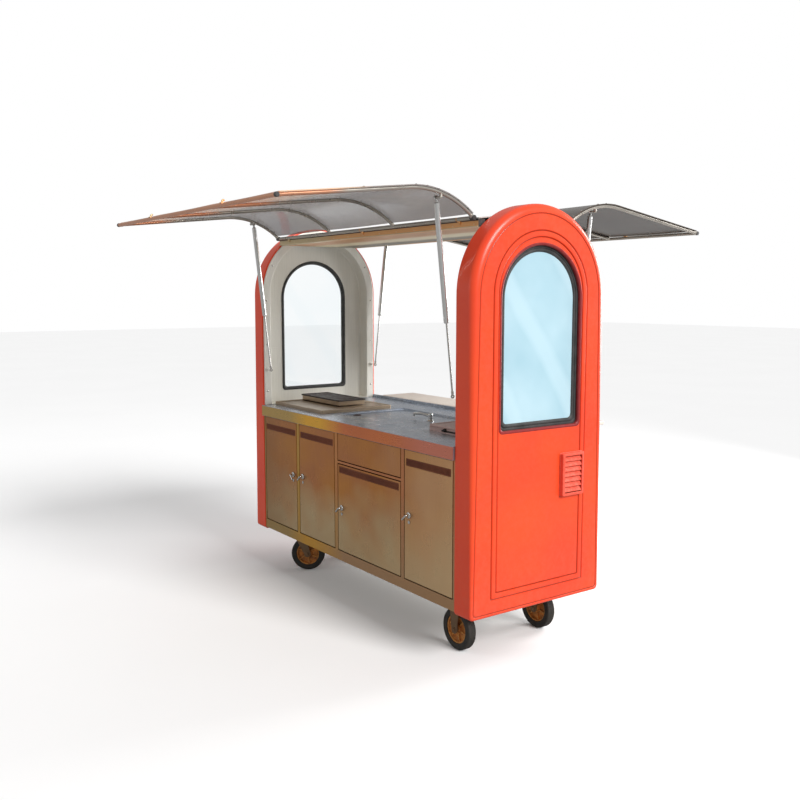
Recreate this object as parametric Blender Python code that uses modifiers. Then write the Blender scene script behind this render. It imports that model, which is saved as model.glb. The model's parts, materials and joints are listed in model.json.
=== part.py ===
"""Mobile food cart: arched end panels, steel cabinet, lifting awnings and casters.

Metres, +Z up. The front, with the cabinet doors, faces -Y, and the right end panel
is at +X. The origin is on the floor under the middle of the cart.
"""
import math

import bmesh
import bpy
from mathutils import Matrix, Vector

# ---------------------------------------------------------------- overall sizes
CART_LENGTH = 2.073
CART_DEPTH = 0.800
CART_HEIGHT = 2.053
COUNTER_HEIGHT = 0.997

# ---------------------------------------------------------------- fits
TOUCH = 0.0003
RUN = 0.005
PIN_FIT = 0.0005

# ---------------------------------------------------------------- end panels
RIM_DEPTH = 0.115
RIM_WIDTH = 0.055
WALL = 0.035
EDGE_ROUND = 0.038
LINING = 0.003
FLANGE_INSET = 0.009
FOOT_RAIL = 0.050
PANEL_DROP = 0.005

# ---------------------------------------------------------------- windows and vents
WINDOW_HALF = 0.240
WINDOW_BOTTOM = 1.057
WINDOW_TOP_DROP = 0.178
SEAL_WIDTH = 0.031
SEAL_SINK = 0.008
SEAL_PROUD = 0.004
SEAL_CORNER = 0.020
GLASS = 0.005
GLASS_INSET = 0.020
VENT_SIZE = (0.022, 0.138, 0.202)
VENT_CENTRE_Y = 0.196
VENT_CENTRE_Z = 0.829
VENT_SLOTS = 7

# ---------------------------------------------------------------- base and cabinet
FRAME_TUBE = 0.040
FRAME_SETBACK = 0.025
CABINET_LIFT = 0.008
CABINET_SETBACK = 0.004
FACE = 0.0197
CASE_WALL = 0.015
DOOR_THICK = 0.018
FOOT_STRIP = 0.052
SIDE_STILE = 0.012
STILES = (0.025, 0.029, 0.025)
BAY_SHARES = (0.2242, 0.2242, 0.3352, 0.2164)
DRAWER_FRONT = 0.1505
DRAWER_RAIL = 0.012
DRAWER_DEPTH = 0.470
DRAWER_SIDE = 0.110
DRAWER_WALL = 0.010
SIDE_PLAY = 0.012
BAND_HEIGHT = 0.035
BAND_DROP = 0.040
BAND_INSET = 0.030
BAND_DEPTH = 0.004

# ---------------------------------------------------------------- handles
ROSE_RADIUS = 0.016
ROSE_THICK = 0.007
LEVER_RADIUS = 0.0055
LEVER_REACH = 0.026
LEVER_LENGTH = 0.042
LEVER_TURN = math.radians(35)
HANDLE_INSET = 0.038

# ---------------------------------------------------------------- worktop
TOP_THICK = 0.040
LIP_DROP = 0.022
LIP_THICK = 0.013
LIP_PROUD = 0.010
UPSTAND = 0.016
UPSTAND_THICK = 0.012
TRAY_X = (-0.310, 0.395)
TRAY_Y = (-0.235, 0.200)
TRAY_DEPTH = 0.010
TAP_AT = (0.172, 0.033)
TAP_HEIGHT = 0.045
TAP_REACH = 0.150
GRIDDLE_LENGTH = 0.560
GRIDDLE_Y = (-0.330, 0.140)
GRIDDLE_RISE = 0.020
PLATE_LENGTH = 0.440
PLATE_Y = (-0.150, 0.040)
PLATE_RISE = 0.033
BURNER_LENGTH = 0.440
BURNER_Y = (-0.200, 0.220)
BURNER_RISE = 0.032
END_GAP = 0.012

# ---------------------------------------------------------------- serving shelf
SHELF_LENGTH = 1.660
SHELF_WIDTH = 0.240
SHELF_THICK = 0.018

# ---------------------------------------------------------------- roof
HINGE_INSET = 0.108
HINGE_DROP = 0.068
BEAM_WIDTH = 0.036
BEAM_HEIGHT = 0.0345
BEAM_GAP = 0.017
CEILING = 0.0077
CEILING_LIFT = 0.001
ROOF_SKIN = 0.005
ROOF_CROWN = 0.018
LUG_THICK = 0.006
LUG_ROUND = 0.0080
LUG_FOOT = 0.026
LUG_SLOT = 0.010
LUG_FROM_END = 0.118

# ---------------------------------------------------------------- awnings
AWNING_BEND = 0.430
AWNING_STANDOFF = 0.034
AWNING_COUNTER_GAP = 0.0485
AWNING_END_GAP = 0.008
SHEET = 0.004
SHEET_START = 0.016
RIB_RADIUS = 0.008
HINGE_RAIL_RADIUS = 0.009
HINGE_PIN_RADIUS = 0.004
OUTER_RAIL_RADIUS = 0.009
RIB_COUNT = 4
FRONT_OPENING = math.radians(83.8)
BACK_OPENING = math.radians(81.0)
KNOB_RADIUS = 0.007
KNOB_HEIGHT = 0.026
KNOB_SPREAD = 0.420

# ---------------------------------------------------------------- gas struts
STRUT_GRIP = 0.173
GRIP_DROP = 0.017
STRUT_FOOT_Y = 0.028
STRUT_FOOT_Z = 0.213
STRUT_INBOARD = 0.032
CYLINDER_RADIUS = 0.010
CYLINDER_LENGTH = 0.535
CYLINDER_BORE = 0.360
ROD_RADIUS = 0.0042
ROD_LENGTH = 0.378
EYE_RADIUS = 0.0105
EYE_THICK = 0.008
STUD_RADIUS = 0.004
EAR_RADIUS = 0.0065

# ---------------------------------------------------------------- casters
WHEEL_RADIUS = 0.100
TYRE_WIDTH = 0.045
TYRE_SEAT = 0.068
HUB_WIDTH = 0.040
AXLE_RADIUS = 0.0075
FORK_LEG = 0.005
FORK_ROUND = 0.020
FORK_SHOULDER = 0.036
CASTER_PLATE = (0.105, 0.085, 0.0075)
CROWN_DROP = 0.0032
KINGPIN_RADIUS = 0.006
KINGPIN_LENGTH = 0.020
CASTER_TRAIL = 0.050
CASTER_RISE = 0.040
CASTER_YAW = math.radians(50)
CASTER_Y = 0.252
RIGHT_CASTER_INSET = 0.2565
LEFT_CASTER_INSET = 0.2795

# ---------------------------------------------------------------- worked-out places
HALF_LENGTH = CART_LENGTH / 2
HALF_DEPTH = CART_DEPTH / 2
INNER_FACE = HALF_LENGTH - RIM_DEPTH
FLANGE_FACE = INNER_FACE - TOUCH - LINING
INNER_END = FLANGE_FACE - TOUCH
CASE_END = INNER_FACE - 0.002
CABINET_FRONT = -HALF_DEPTH + CABINET_SETBACK
CABINET_BACK = HALF_DEPTH - CABINET_SETBACK
FACE_BACK = CABINET_FRONT + FACE
FRAME_BOTTOM = 2 * WHEEL_RADIUS + CASTER_RISE
FRAME_TOP = FRAME_BOTTOM + FRAME_TUBE
PANEL_BOTTOM = FRAME_BOTTOM - PANEL_DROP
CABINET_BOTTOM = FRAME_BOTTOM + CABINET_LIFT
DOOR_BOTTOM = CABINET_BOTTOM + FOOT_STRIP
TOP_UNDERSIDE = COUNTER_HEIGHT - TOP_THICK
DOOR_TOP = TOP_UNDERSIDE - LIP_DROP
HINGE_Y = HALF_DEPTH - HINGE_INSET
HINGE_Z = CART_HEIGHT - HINGE_DROP
BEAM_OUTER = HINGE_Y - BEAM_GAP
BEAM_TOP = HINGE_Z - 0.003
BEAM_BOTTOM = BEAM_TOP - BEAM_HEIGHT
AWNING_HALF = FLANGE_FACE - AWNING_END_GAP
RIB_END = AWNING_HALF - RIB_RADIUS - 0.002
BEND_TURN = math.acos((AWNING_BEND - HINGE_INSET - AWNING_STANDOFF) / AWNING_BEND)
STRAIGHT = (HINGE_Z - AWNING_BEND * math.sin(BEND_TURN)
            - COUNTER_HEIGHT - AWNING_COUNTER_GAP)
STRUT_X = RIB_END - STRUT_INBOARD
DRAWER_BOTTOM = DOOR_TOP - DRAWER_FRONT
LOWER_TOP = DRAWER_BOTTOM - DRAWER_RAIL

PARTS = None
CUTTERS = None


# ================================================================= scene helpers
def clear_scene():
    """Remove every object that the file holds."""
    for thing in list(bpy.data.objects):
        bpy.data.objects.remove(thing, do_unlink=True)


def new_collection(name):
    """Make a collection under the scene's own."""
    group = bpy.data.collections.new(name)
    bpy.context.scene.collection.children.link(group)
    return group


def finish_material(name, colour, roughness, metallic):
    """A Principled material with one colour."""
    material = bpy.data.materials.new(name)
    material.use_nodes = True
    shader = material.node_tree.nodes["Principled BSDF"]
    shader.inputs["Base Color"].default_value = (*colour, 1.0)
    shader.inputs["Roughness"].default_value = roughness
    shader.inputs["Metallic"].default_value = metallic
    return material


def dress(part, colour, roughness=0.4, metallic=0.0):
    """Give a part a material of its own."""
    part.data.materials.clear()
    part.data.materials.append(finish_material(part.name, colour, roughness, metallic))
    return part


def as_tool(part):
    """Move a part to the cutters, where it is not rendered."""
    for group in list(part.users_collection):
        group.objects.unlink(part)
    CUTTERS.objects.link(part)
    part.hide_render = True
    part.display_type = "WIRE"
    return part


def boolean(target, tool, operation):
    """Change a target by a tool, which becomes a hidden cutter."""
    change = target.modifiers.new(tool.name, "BOOLEAN")
    change.operation = operation
    change.solver = "EXACT"
    change.object = as_tool(tool)
    if target.parent is not None and tool.parent is None:
        tool.parent = target.parent
        tool.matrix_parent_inverse = target.matrix_parent_inverse
    return target


def cut(target, *tools):
    """Take tools away from a target."""
    for tool in tools:
        boolean(target, tool, "DIFFERENCE")
    return target


def join(target, *tools):
    """Weld tools to a target."""
    for tool in tools:
        boolean(target, tool, "UNION")
    return target


def soften(part, width, segments=2, angle=40):
    """Round the sharp edges of a part."""
    bevel = part.modifiers.new("soften", "BEVEL")
    bevel.width = width
    bevel.segments = segments
    bevel.limit_method = "ANGLE"
    bevel.angle_limit = math.radians(angle)
    return part


def smooth(part, angle=32):
    """Shade round faces smooth and keep sharp corners."""
    part.data.shade_smooth()
    part.data.set_sharp_from_angle(angle=math.radians(angle))
    return part


def hold(parts, name, place, turn=(0.0, 0.0, 0.0)):
    """Hang parts on an empty that stands on their joint, without moving them."""
    pivot = bpy.data.objects.new(name, None)
    pivot.location = place
    pivot.rotation_euler = turn
    PARTS.objects.link(pivot)
    matrix = Matrix.LocRotScale(Vector(place), pivot.rotation_euler, None)
    for part in parts:
        part.parent = pivot
        part.matrix_parent_inverse = matrix.inverted()
    return pivot


def local_pivot(name, place, turn, parent=None):
    """An empty whose children are placed in its own frame."""
    pivot = bpy.data.objects.new(name, None)
    pivot.location = place
    pivot.rotation_euler = turn
    pivot.parent = parent
    PARTS.objects.link(pivot)
    return pivot


# ================================================================= shape helpers
def mesh_part(name, shape):
    """Turn a bmesh into a named part."""
    mesh = bpy.data.meshes.new(name)
    shape.to_mesh(mesh)
    shape.free()
    part = bpy.data.objects.new(name, mesh)
    PARTS.objects.link(part)
    return part


def box(name, low, high):
    """A box between two corners."""
    size = [b - a for a, b in zip(low, high)]
    centre = [(a + b) / 2 for a, b in zip(low, high)]
    shape = bmesh.new()
    bmesh.ops.create_cube(shape, size=1.0)
    bmesh.ops.scale(shape, vec=size, verts=shape.verts)
    bmesh.ops.translate(shape, vec=centre, verts=shape.verts)
    return mesh_part(name, shape)


def rod(name, start, end, radius, sides=20):
    """A round bar between two points."""
    start, end = Vector(start), Vector(end)
    run = end - start
    turn = Vector((0, 0, 1)).rotation_difference(run.normalized()).to_matrix().to_4x4()
    place = Matrix.Translation((start + end) / 2) @ turn
    shape = bmesh.new()
    bmesh.ops.create_cone(shape, cap_ends=True, segments=sides, radius1=radius,
                          radius2=radius, depth=run.length, matrix=place)
    part = mesh_part(name, shape)
    return smooth(part)


PLANES = {
    "YZ": (math.radians(90), 0.0, math.radians(90)),
    "XZ": (math.radians(90), 0.0, 0.0),
    "XY": (0.0, 0.0, 0.0),
}
PLANE_NORMALS = {"YZ": Vector((1, 0, 0)), "XZ": Vector((0, -1, 0)), "XY": Vector((0, 0, 1))}


def plate(name, plane, outlines, low, high):
    """A flat outline, with holes, filled and extruded from low to high.

    low and high are measured along +X for YZ, +Y for XZ and +Z for XY.
    """
    curve = bpy.data.curves.new(name, "CURVE")
    curve.dimensions = "2D"
    curve.fill_mode = "BOTH"
    curve.extrude = (high - low) / 2
    for outline in outlines:
        spline = curve.splines.new("POLY")
        spline.points.add(len(outline) - 1)
        for point, (across, along) in zip(spline.points, outline):
            point.co = (across, along, 0.0, 1.0)
        spline.use_cyclic_u = True
    maker = bpy.data.objects.new(name, curve)
    PARTS.objects.link(maker)
    normal = PLANE_NORMALS[plane]
    middle = (low + high) / 2
    maker.location = Vector((abs(normal.x), abs(normal.y), abs(normal.z))) * middle
    maker.rotation_euler = PLANES[plane]
    return curve_to_part(maker)


def tube(name, points, radius, resolution=2):
    """A round tube with closed ends along points."""
    curve = bpy.data.curves.new(name, "CURVE")
    curve.dimensions = "3D"
    curve.bevel_depth = radius
    curve.bevel_resolution = resolution
    curve.use_fill_caps = True
    spline = curve.splines.new("POLY")
    spline.points.add(len(points) - 1)
    for point, place in zip(spline.points, points):
        point.co = (*place, 1.0)
    maker = bpy.data.objects.new(name, curve)
    PARTS.objects.link(maker)
    return smooth(curve_to_part(maker))


def curve_to_part(maker):
    """Make a mesh part from a curve, with its seams welded and its faces outward."""
    bpy.context.view_layer.update()
    graph = bpy.context.evaluated_depsgraph_get()
    mesh = bpy.data.meshes.new_from_object(maker.evaluated_get(graph))
    mesh.transform(maker.matrix_world)
    name = maker.name
    bpy.data.objects.remove(maker, do_unlink=True)
    shape = bmesh.new()
    shape.from_mesh(mesh)
    bpy.data.meshes.remove(mesh)
    bmesh.ops.remove_doubles(shape, verts=shape.verts, dist=0.00001)
    bmesh.ops.recalc_face_normals(shape, faces=shape.faces)
    return mesh_part(name, shape)


def turned(name, profile, steps=24):
    """Turn a closed profile of (radius, height) points about Z."""
    mesh = bpy.data.meshes.new(name)
    corners = [(radius, 0.0, height) for radius, height in profile]
    edges = [(i, (i + 1) % len(corners)) for i in range(len(corners))]
    mesh.from_pydata(corners, edges, [])
    part = bpy.data.objects.new(name, mesh)
    PARTS.objects.link(part)
    screw = part.modifiers.new("turn", "SCREW")
    screw.steps = steps
    screw.render_steps = steps
    screw.use_merge_vertices = True
    screw.merge_threshold = 0.00001
    screw.use_smooth_shade = False
    return part


def arc(centre, radius, start, end, steps):
    """Points of an arc, both ends included, angles in radians."""
    points = []
    for i in range(steps + 1):
        angle = start + (end - start) * i / steps
        across = centre[0] + radius * math.cos(angle)
        along = centre[1] + radius * math.sin(angle)
        points.append((across, along))
    return points


def arch(half, bottom, top, corner=0.0, steps=24):
    """Outline of a round-topped panel, with rounded or square lower corners."""
    points = arc((0.0, top - half), half, 0.0, math.pi, steps)
    if corner > 0.0:
        left = (-half + corner, bottom + corner)
        right = (half - corner, bottom + corner)
        points += arc(left, corner, math.pi, 1.5 * math.pi, 4)
        points += arc(right, corner, 1.5 * math.pi, 2 * math.pi, 4)
    else:
        points += [(-half, bottom), (half, bottom)]
    return points


# ================================================================= end panels
def sided(side, low, high):
    """A span along X for one end: side is +1 for the right end and -1 for the left."""
    return (low, high) if side > 0 else (-high, -low)


def end_shell(name, side):
    """The moulded red panel: a wall with a deep rim, hollow towards the inside."""
    outline = arch(HALF_DEPTH, PANEL_BOTTOM, CART_HEIGHT, EDGE_ROUND)
    shell = plate(name, "YZ", [outline], *sided(side, INNER_FACE, HALF_LENGTH))
    weld_flat(shell)
    outer = side * HALF_LENGTH
    round_outer_edge(shell, outer)
    inner = HALF_DEPTH - RIM_WIDTH
    pocket = arch(inner, COUNTER_HEIGHT + TOUCH, CART_HEIGHT - RIM_WIDTH)
    reach = sided(side, INNER_FACE - 0.01, HALF_LENGTH - WALL)
    cut(shell, plate(name + "_pocket", "YZ", [pocket], *reach))
    low = (reach[0], -inner, PANEL_BOTTOM + FOOT_RAIL)
    high = (reach[1], inner, COUNTER_HEIGHT - FOOT_RAIL)
    cut(shell, box(name + "_lower_pocket", low, high))
    cut(shell, window_tool(name, side, TOUCH))
    smooth(shell)
    return dress(shell, (0.90, 0.09, 0.03), 0.3)


def weld_flat(part):
    """Merge the triangles of flat faces into whole faces."""
    shape = bmesh.new()
    shape.from_mesh(part.data)
    bmesh.ops.dissolve_limit(shape, angle_limit=math.radians(1), verts=shape.verts,
                             edges=shape.edges)
    shape.to_mesh(part.data)
    shape.free()


def round_outer_edge(part, plane_x):
    """Round only the edges that lie in the outer plane."""
    mesh = part.data
    weights = mesh.attributes.new("bevel_weight_edge", "FLOAT", "EDGE")
    for edge in mesh.edges:
        ends = [mesh.vertices[i].co.x for i in edge.vertices]
        on_plane = all(abs(x - plane_x) < 0.001 for x in ends)
        weights.data[edge.index].value = 1.0 if on_plane else 0.0
    bevel = part.modifiers.new("outer_edge", "BEVEL")
    bevel.width = EDGE_ROUND - 0.001
    bevel.segments = 3
    bevel.limit_method = "WEIGHT"


def window_tool(name, side, gap):
    """A cutter for the window hole of one end, wider than the seal by a gap."""
    outline = arch(WINDOW_HALF + gap, WINDOW_BOTTOM - gap,
                   CART_HEIGHT - WINDOW_TOP_DROP + gap, SEAL_CORNER)
    span = sided(side, INNER_FACE - 0.05, HALF_LENGTH + 0.05)
    return plate(name + "_window_hole", "YZ", [outline], *span)


def end_lining(name, side):
    """The steel lining: a flange over the rim and a pan in the pocket."""
    flange = arch(HALF_DEPTH - FLANGE_INSET, COUNTER_HEIGHT + TOUCH,
                  CART_HEIGHT - FLANGE_INSET)
    lining = plate(name, "YZ", [flange], *sided(side, FLANGE_FACE, INNER_FACE - TOUCH))
    outer = HALF_DEPTH - RIM_WIDTH - TOUCH
    pan = arch(outer, COUNTER_HEIGHT + 2 * TOUCH, CART_HEIGHT - RIM_WIDTH - TOUCH)
    back = HALF_LENGTH - WALL - TOUCH
    join(lining, plate(name + "_pan", "YZ", [pan], *sided(side, FLANGE_FACE + 0.001, back)))
    inside = arch(outer - LINING, COUNTER_HEIGHT + 2 * TOUCH + LINING,
                  CART_HEIGHT - RIM_WIDTH - TOUCH - LINING)
    reach = sided(side, FLANGE_FACE - 0.01, back - LINING)
    cut(lining, plate(name + "_hollow", "YZ", [inside], *reach))
    cut(lining, window_tool(name, side, TOUCH))
    for face in (-1, 1):
        y, z = strut_foot(face)
        inner = (side * (STRUT_X + EYE_THICK / 2 + 0.0025), y, z)
        stud = rod("%s_stud_%d" % (name, face), (side * (FLANGE_FACE + 0.001), y, z),
                   inner, STUD_RADIUS + 0.002, 16)
        join(lining, stud)
    return dress(lining, (0.74, 0.76, 0.72), 0.35, 0.4)


def window(name, side):
    """The rubber seal and the glass of one end."""
    top = CART_HEIGHT - WINDOW_TOP_DROP
    outer = arch(WINDOW_HALF, WINDOW_BOTTOM, top, SEAL_CORNER)
    inner = arch(WINDOW_HALF - SEAL_WIDTH, WINDOW_BOTTOM + SEAL_WIDTH, top - SEAL_WIDTH,
                 SEAL_CORNER)
    back = HALF_LENGTH - WALL - LINING - SEAL_PROUD
    seal = plate(name + "_window_seal", "YZ", [outer, inner],
                 *sided(side, back, HALF_LENGTH - SEAL_SINK))
    dress(seal, (0.03, 0.035, 0.035), 0.6)
    pane = arch(WINDOW_HALF - SEAL_WIDTH - TOUCH, WINDOW_BOTTOM + SEAL_WIDTH + TOUCH,
                top - SEAL_WIDTH - TOUCH, SEAL_CORNER)
    depth = HALF_LENGTH - GLASS_INSET
    glass = plate(name + "_window_glass", "YZ", [pane], *sided(side, depth - GLASS, depth))
    dress(glass, (0.70, 0.88, 0.94), 0.05)


def vent(name, side):
    """A louvred box on the outer face of one end."""
    thick, width, height = VENT_SIZE
    face = HALF_LENGTH + TOUCH
    near, far = sided(side, face, face + thick)
    low = (near, VENT_CENTRE_Y - width / 2, VENT_CENTRE_Z - height / 2)
    high = (far, VENT_CENTRE_Y + width / 2, VENT_CENTRE_Z + height / 2)
    body = soften(box(name, low, high), 0.004)
    pitch = height / (VENT_SLOTS + 1)
    outer = side * (face + thick)
    inner = outer - side * 0.008
    for slot in range(VENT_SLOTS):
        z = low[2] + pitch * (slot + 1)
        first = (min(outer, inner) - 0.005 * (side < 0), low[1] + 0.014, z - pitch * 0.22)
        last = (max(outer, inner) + 0.005 * (side > 0), high[1] - 0.014, z + pitch * 0.22)
        cut(body, box("%s_slot_%d" % (name, slot), first, last))
    return dress(body, (0.82, 0.10, 0.04), 0.35)


def build_ends():
    """Both end panels, which are alike."""
    for name, side in (("right", 1), ("left", -1)):
        end_shell(name + "_end_shell", side)
        end_lining(name + "_end_lining", side)
        window(name, side)
        vent(name + "_vent", side)


# ================================================================= base and cabinet
def build_base():
    """The welded frame of square tube that carries the cabinet."""
    edge = HALF_DEPTH - FRAME_SETBACK
    first = box("base_frame", (-CASE_END, -edge, FRAME_BOTTOM),
                (CASE_END, -edge + FRAME_TUBE, FRAME_TOP))
    second = box("base_rail_back", (-CASE_END, edge - FRAME_TUBE, FRAME_BOTTOM),
                 (CASE_END, edge, FRAME_TOP))
    join(first, second)
    for number, x in enumerate(cross_members()):
        low = (x - FRAME_TUBE / 2, -edge + 0.01, FRAME_BOTTOM)
        high = (x + FRAME_TUBE / 2, edge - 0.01, FRAME_TOP)
        join(first, box("base_cross_%d" % number, low, high))
    return dress(first, (0.30, 0.24, 0.20), 0.55, 0.6)


def cross_members():
    """Where the cross members stand: at both ends and over the casters."""
    end = CASE_END - FRAME_TUBE / 2
    return (-end, -HALF_LENGTH + LEFT_CASTER_INSET, 0.0, HALF_LENGTH - RIGHT_CASTER_INSET, end)


def bays():
    """The openings of the cabinet front as (left, right), from left to right."""
    free = 2 * CASE_END - 2 * SIDE_STILE - sum(STILES)
    spans = []
    left = -CASE_END + SIDE_STILE
    for number, share in enumerate(BAY_SHARES):
        right = left + free * share
        spans.append((left, right))
        if number < len(STILES):
            left = right + STILES[number]
    return spans


def openings():
    """Every opening of the cabinet front: left, right, bottom and top."""
    places = [(left, right, DOOR_BOTTOM, DOOR_TOP) for left, right in bays()]
    left, right, bottom, top = places[2]
    places[2] = (left, right, bottom, LOWER_TOP)
    places.append((left, right, DRAWER_BOTTOM, top))
    return places


def build_cabinet():
    """The open-fronted case and the frame on its front."""
    case = box("cabinet_carcass", (-CASE_END, FACE_BACK + TOUCH, FRAME_TOP + TOUCH),
               (CASE_END, CABINET_BACK, TOP_UNDERSIDE - TOUCH))
    face = box("cabinet_face_frame", (-CASE_END, CABINET_FRONT, CABINET_BOTTOM),
               (CASE_END, FACE_BACK, TOP_UNDERSIDE - TOUCH))
    back = CABINET_BACK - CASE_WALL
    for number, (left, right, bottom, top) in enumerate(openings()):
        low = (left, CABINET_FRONT - 0.01, bottom)
        cut(face, box("face_opening_%d" % number, low, (right, FACE_BACK + 0.01, top)))
        low = (left + 0.0005, FACE_BACK - 0.01, bottom + 0.0005)
        cut(case, box("case_space_%d" % number, low, (right - 0.0005, back, top - 0.0005)))
    dress(case, (0.50, 0.47, 0.42), 0.4, 0.8)
    dress(face, (0.66, 0.48, 0.28), 0.35, 0.8)


def lever_handle(door_name, x, z, toward):
    """A round rose with a short lever, as one tool to weld to its door."""
    face = CABINET_FRONT
    rose = rod(door_name + "_rose", (x, face + 0.004, z), (x, face - ROSE_THICK, z),
               ROSE_RADIUS, 16)
    neck = rod(door_name + "_neck", (x, face, z), (x, face - LEVER_REACH, z), LEVER_RADIUS, 10)
    tip = (x + toward * LEVER_LENGTH * math.cos(LEVER_TURN), face - LEVER_REACH + 0.004,
           z - LEVER_LENGTH * math.sin(LEVER_TURN))
    lever = rod(door_name + "_lever", (x, face - LEVER_REACH + 0.004, z), tip,
                LEVER_RADIUS, 10)
    return rose, neck, lever


def cabinet_door(name, opening, hinge_side, handle_z):
    """A flush door that swings out on the edge named by hinge_side."""
    left, right, bottom, top = opening
    left, right = left + RUN, right - RUN
    bottom, top = bottom + RUN, top - RUN
    door = box(name, (left, CABINET_FRONT, bottom), (right, CABINET_FRONT + DOOR_THICK, top))
    soften(door, 0.0015)
    low = (left + BAND_INSET, CABINET_FRONT - 0.01, top - BAND_DROP - BAND_HEIGHT)
    high = (right - BAND_INSET, CABINET_FRONT + BAND_DEPTH, top - BAND_DROP)
    cut(door, box(name + "_band", low, high))
    x = left + HANDLE_INSET if hinge_side > 0 else right - HANDLE_INSET
    join(door, *lever_handle(name, x, handle_z, -hinge_side * 0.8))
    dress(door, (0.62, 0.45, 0.27), 0.35, 0.8)
    hinge_x = right if hinge_side > 0 else left
    hold([door], name + "_hinge", (hinge_x, CABINET_FRONT, (bottom + top) / 2))
    return door


def build_doors():
    """Four swinging doors and the drawer."""
    places = openings()
    cabinet_door("left_door", places[0], -1, 0.630)
    cabinet_door("centre_left_door", places[1], 1, 0.637)
    cabinet_door("lower_centre_door", places[2], 1, 0.538)
    cabinet_door("right_door", places[3], 1, 0.620)
    build_drawer(places[4])


def build_drawer(opening):
    """A drawer with a flush front and an open tray behind it."""
    left, right, bottom, top = opening
    front = box("drawer", (left + RUN, CABINET_FRONT, bottom + RUN),
                (right - RUN, CABINET_FRONT + DOOR_THICK, top - RUN))
    soften(front, 0.0015)
    low = (left + SIDE_PLAY, CABINET_FRONT + 0.008, bottom + RUN + 0.001)
    high = (right - SIDE_PLAY, CABINET_FRONT + DRAWER_DEPTH, bottom + RUN + DRAWER_SIDE)
    join(front, box("drawer_tray", low, high))
    low = (low[0] + DRAWER_WALL, CABINET_FRONT + DOOR_THICK, low[2] + DRAWER_WALL)
    high = (high[0] - DRAWER_WALL, high[1] - DRAWER_WALL, high[2] + 0.01)
    cut(front, box("drawer_hollow", low, high))
    dress(front, (0.62, 0.45, 0.27), 0.35, 0.8)
    hold([front], "drawer_slide", ((left + right) / 2, CABINET_FRONT, (bottom + top) / 2))


# ================================================================= worktop
def build_worktop():
    """The steel top with a front lip, a back upstand and a shallow drip tray."""
    top = box("worktop", (-CASE_END, -HALF_DEPTH - LIP_PROUD + LIP_THICK - 0.001, TOP_UNDERSIDE),
              (CASE_END, HALF_DEPTH, COUNTER_HEIGHT))
    lip_low = (-CASE_END, -HALF_DEPTH - LIP_PROUD, TOP_UNDERSIDE - LIP_DROP)
    lip_back = -HALF_DEPTH - LIP_PROUD + LIP_THICK
    lip = box("worktop_lip", lip_low, (CASE_END, lip_back, COUNTER_HEIGHT))
    join(top, lip)
    upstand = box("worktop_upstand", (-CASE_END, HALF_DEPTH - UPSTAND_THICK, TOP_UNDERSIDE + 0.01),
                  (CASE_END, HALF_DEPTH, COUNTER_HEIGHT))
    trim_low = (-INNER_END, HALF_DEPTH - UPSTAND_THICK, COUNTER_HEIGHT - 0.005)
    raised = box("worktop_upstand_top", trim_low, (INNER_END, HALF_DEPTH, COUNTER_HEIGHT + UPSTAND))
    join(top, upstand, raised)
    tray = box("worktop_tray", (TRAY_X[0], TRAY_Y[0], COUNTER_HEIGHT - TRAY_DEPTH),
               (TRAY_X[1], TRAY_Y[1], COUNTER_HEIGHT + 0.01))
    cut(top, soften(tray, 0.006, 2))
    return dress(top, (0.48, 0.52, 0.56), 0.3, 0.85)


def build_tap():
    """A low tap that stands in the drip tray."""
    x, y = TAP_AT
    foot = COUNTER_HEIGHT - TRAY_DEPTH + TOUCH
    tap = rod("tap", (x, y, foot), (x, y, foot + 0.012), 0.017, 20)
    join(tap, rod("tap_post", (x, y, foot + 0.006), (x, y, foot + TAP_HEIGHT), 0.009, 16))
    height = foot + TAP_HEIGHT - 0.010
    bend = arc((x - TAP_REACH + 0.02, height - 0.02), 0.02, 0.5 * math.pi, math.pi, 4)
    route = [(x, y, height)] + [(a, y, b) for a, b in bend]
    route.append((x - TAP_REACH, y, height - 0.026))
    join(tap, tube("tap_spout", route, 0.006))
    return dress(tap, (0.85, 0.86, 0.88), 0.1, 1.0)


def build_cooking():
    """The griddle at the left end and the burner box at the right end."""
    end = -FLANGE_FACE + END_GAP
    base = COUNTER_HEIGHT + TOUCH
    tray = box("griddle_tray", (end, GRIDDLE_Y[0], base),
               (end + GRIDDLE_LENGTH, GRIDDLE_Y[1], base + GRIDDLE_RISE))
    soften(tray, 0.004)
    dress(tray, (0.55, 0.48, 0.42), 0.35, 0.8)
    low = (end, PLATE_Y[0], base + GRIDDLE_RISE + TOUCH)
    high = (end + PLATE_LENGTH, PLATE_Y[1], base + GRIDDLE_RISE + PLATE_RISE)
    plate_part = soften(box("griddle_plate", low, high), 0.004)
    dress(plate_part, (0.10, 0.08, 0.07), 0.5, 0.5)
    right = FLANGE_FACE - END_GAP
    burner = box("burner_box", (right - BURNER_LENGTH, BURNER_Y[0], base),
                 (right, BURNER_Y[1], base + BURNER_RISE))
    soften(burner, 0.003)
    low = (right - BURNER_LENGTH + 0.04, BURNER_Y[0] - 0.01, base + 0.008)
    high = (right - 0.04, BURNER_Y[0] + 0.012, base + 0.022)
    cut(burner, box("burner_slot", low, high))
    dress(burner, (0.62, 0.54, 0.52), 0.35, 0.8)


def build_shelf():
    """The customer's shelf, which folds down on the back edge."""
    inner = HALF_DEPTH + RUN + 0.0005
    shelf = box("serving_shelf", (-SHELF_LENGTH / 2, inner, COUNTER_HEIGHT),
                (SHELF_LENGTH / 2, inner + SHELF_WIDTH, COUNTER_HEIGHT + SHELF_THICK))
    soften(shelf, 0.003)
    dress(shelf, (0.86, 0.86, 0.84), 0.35, 0.3)
    hold([shelf], "shelf_hinge", (0.0, inner, COUNTER_HEIGHT))


# ================================================================= roof
def lug_places():
    """Where the hinge lugs stand along X."""
    end = AWNING_HALF - LUG_FROM_END
    return (-end, 0.0, end)


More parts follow.
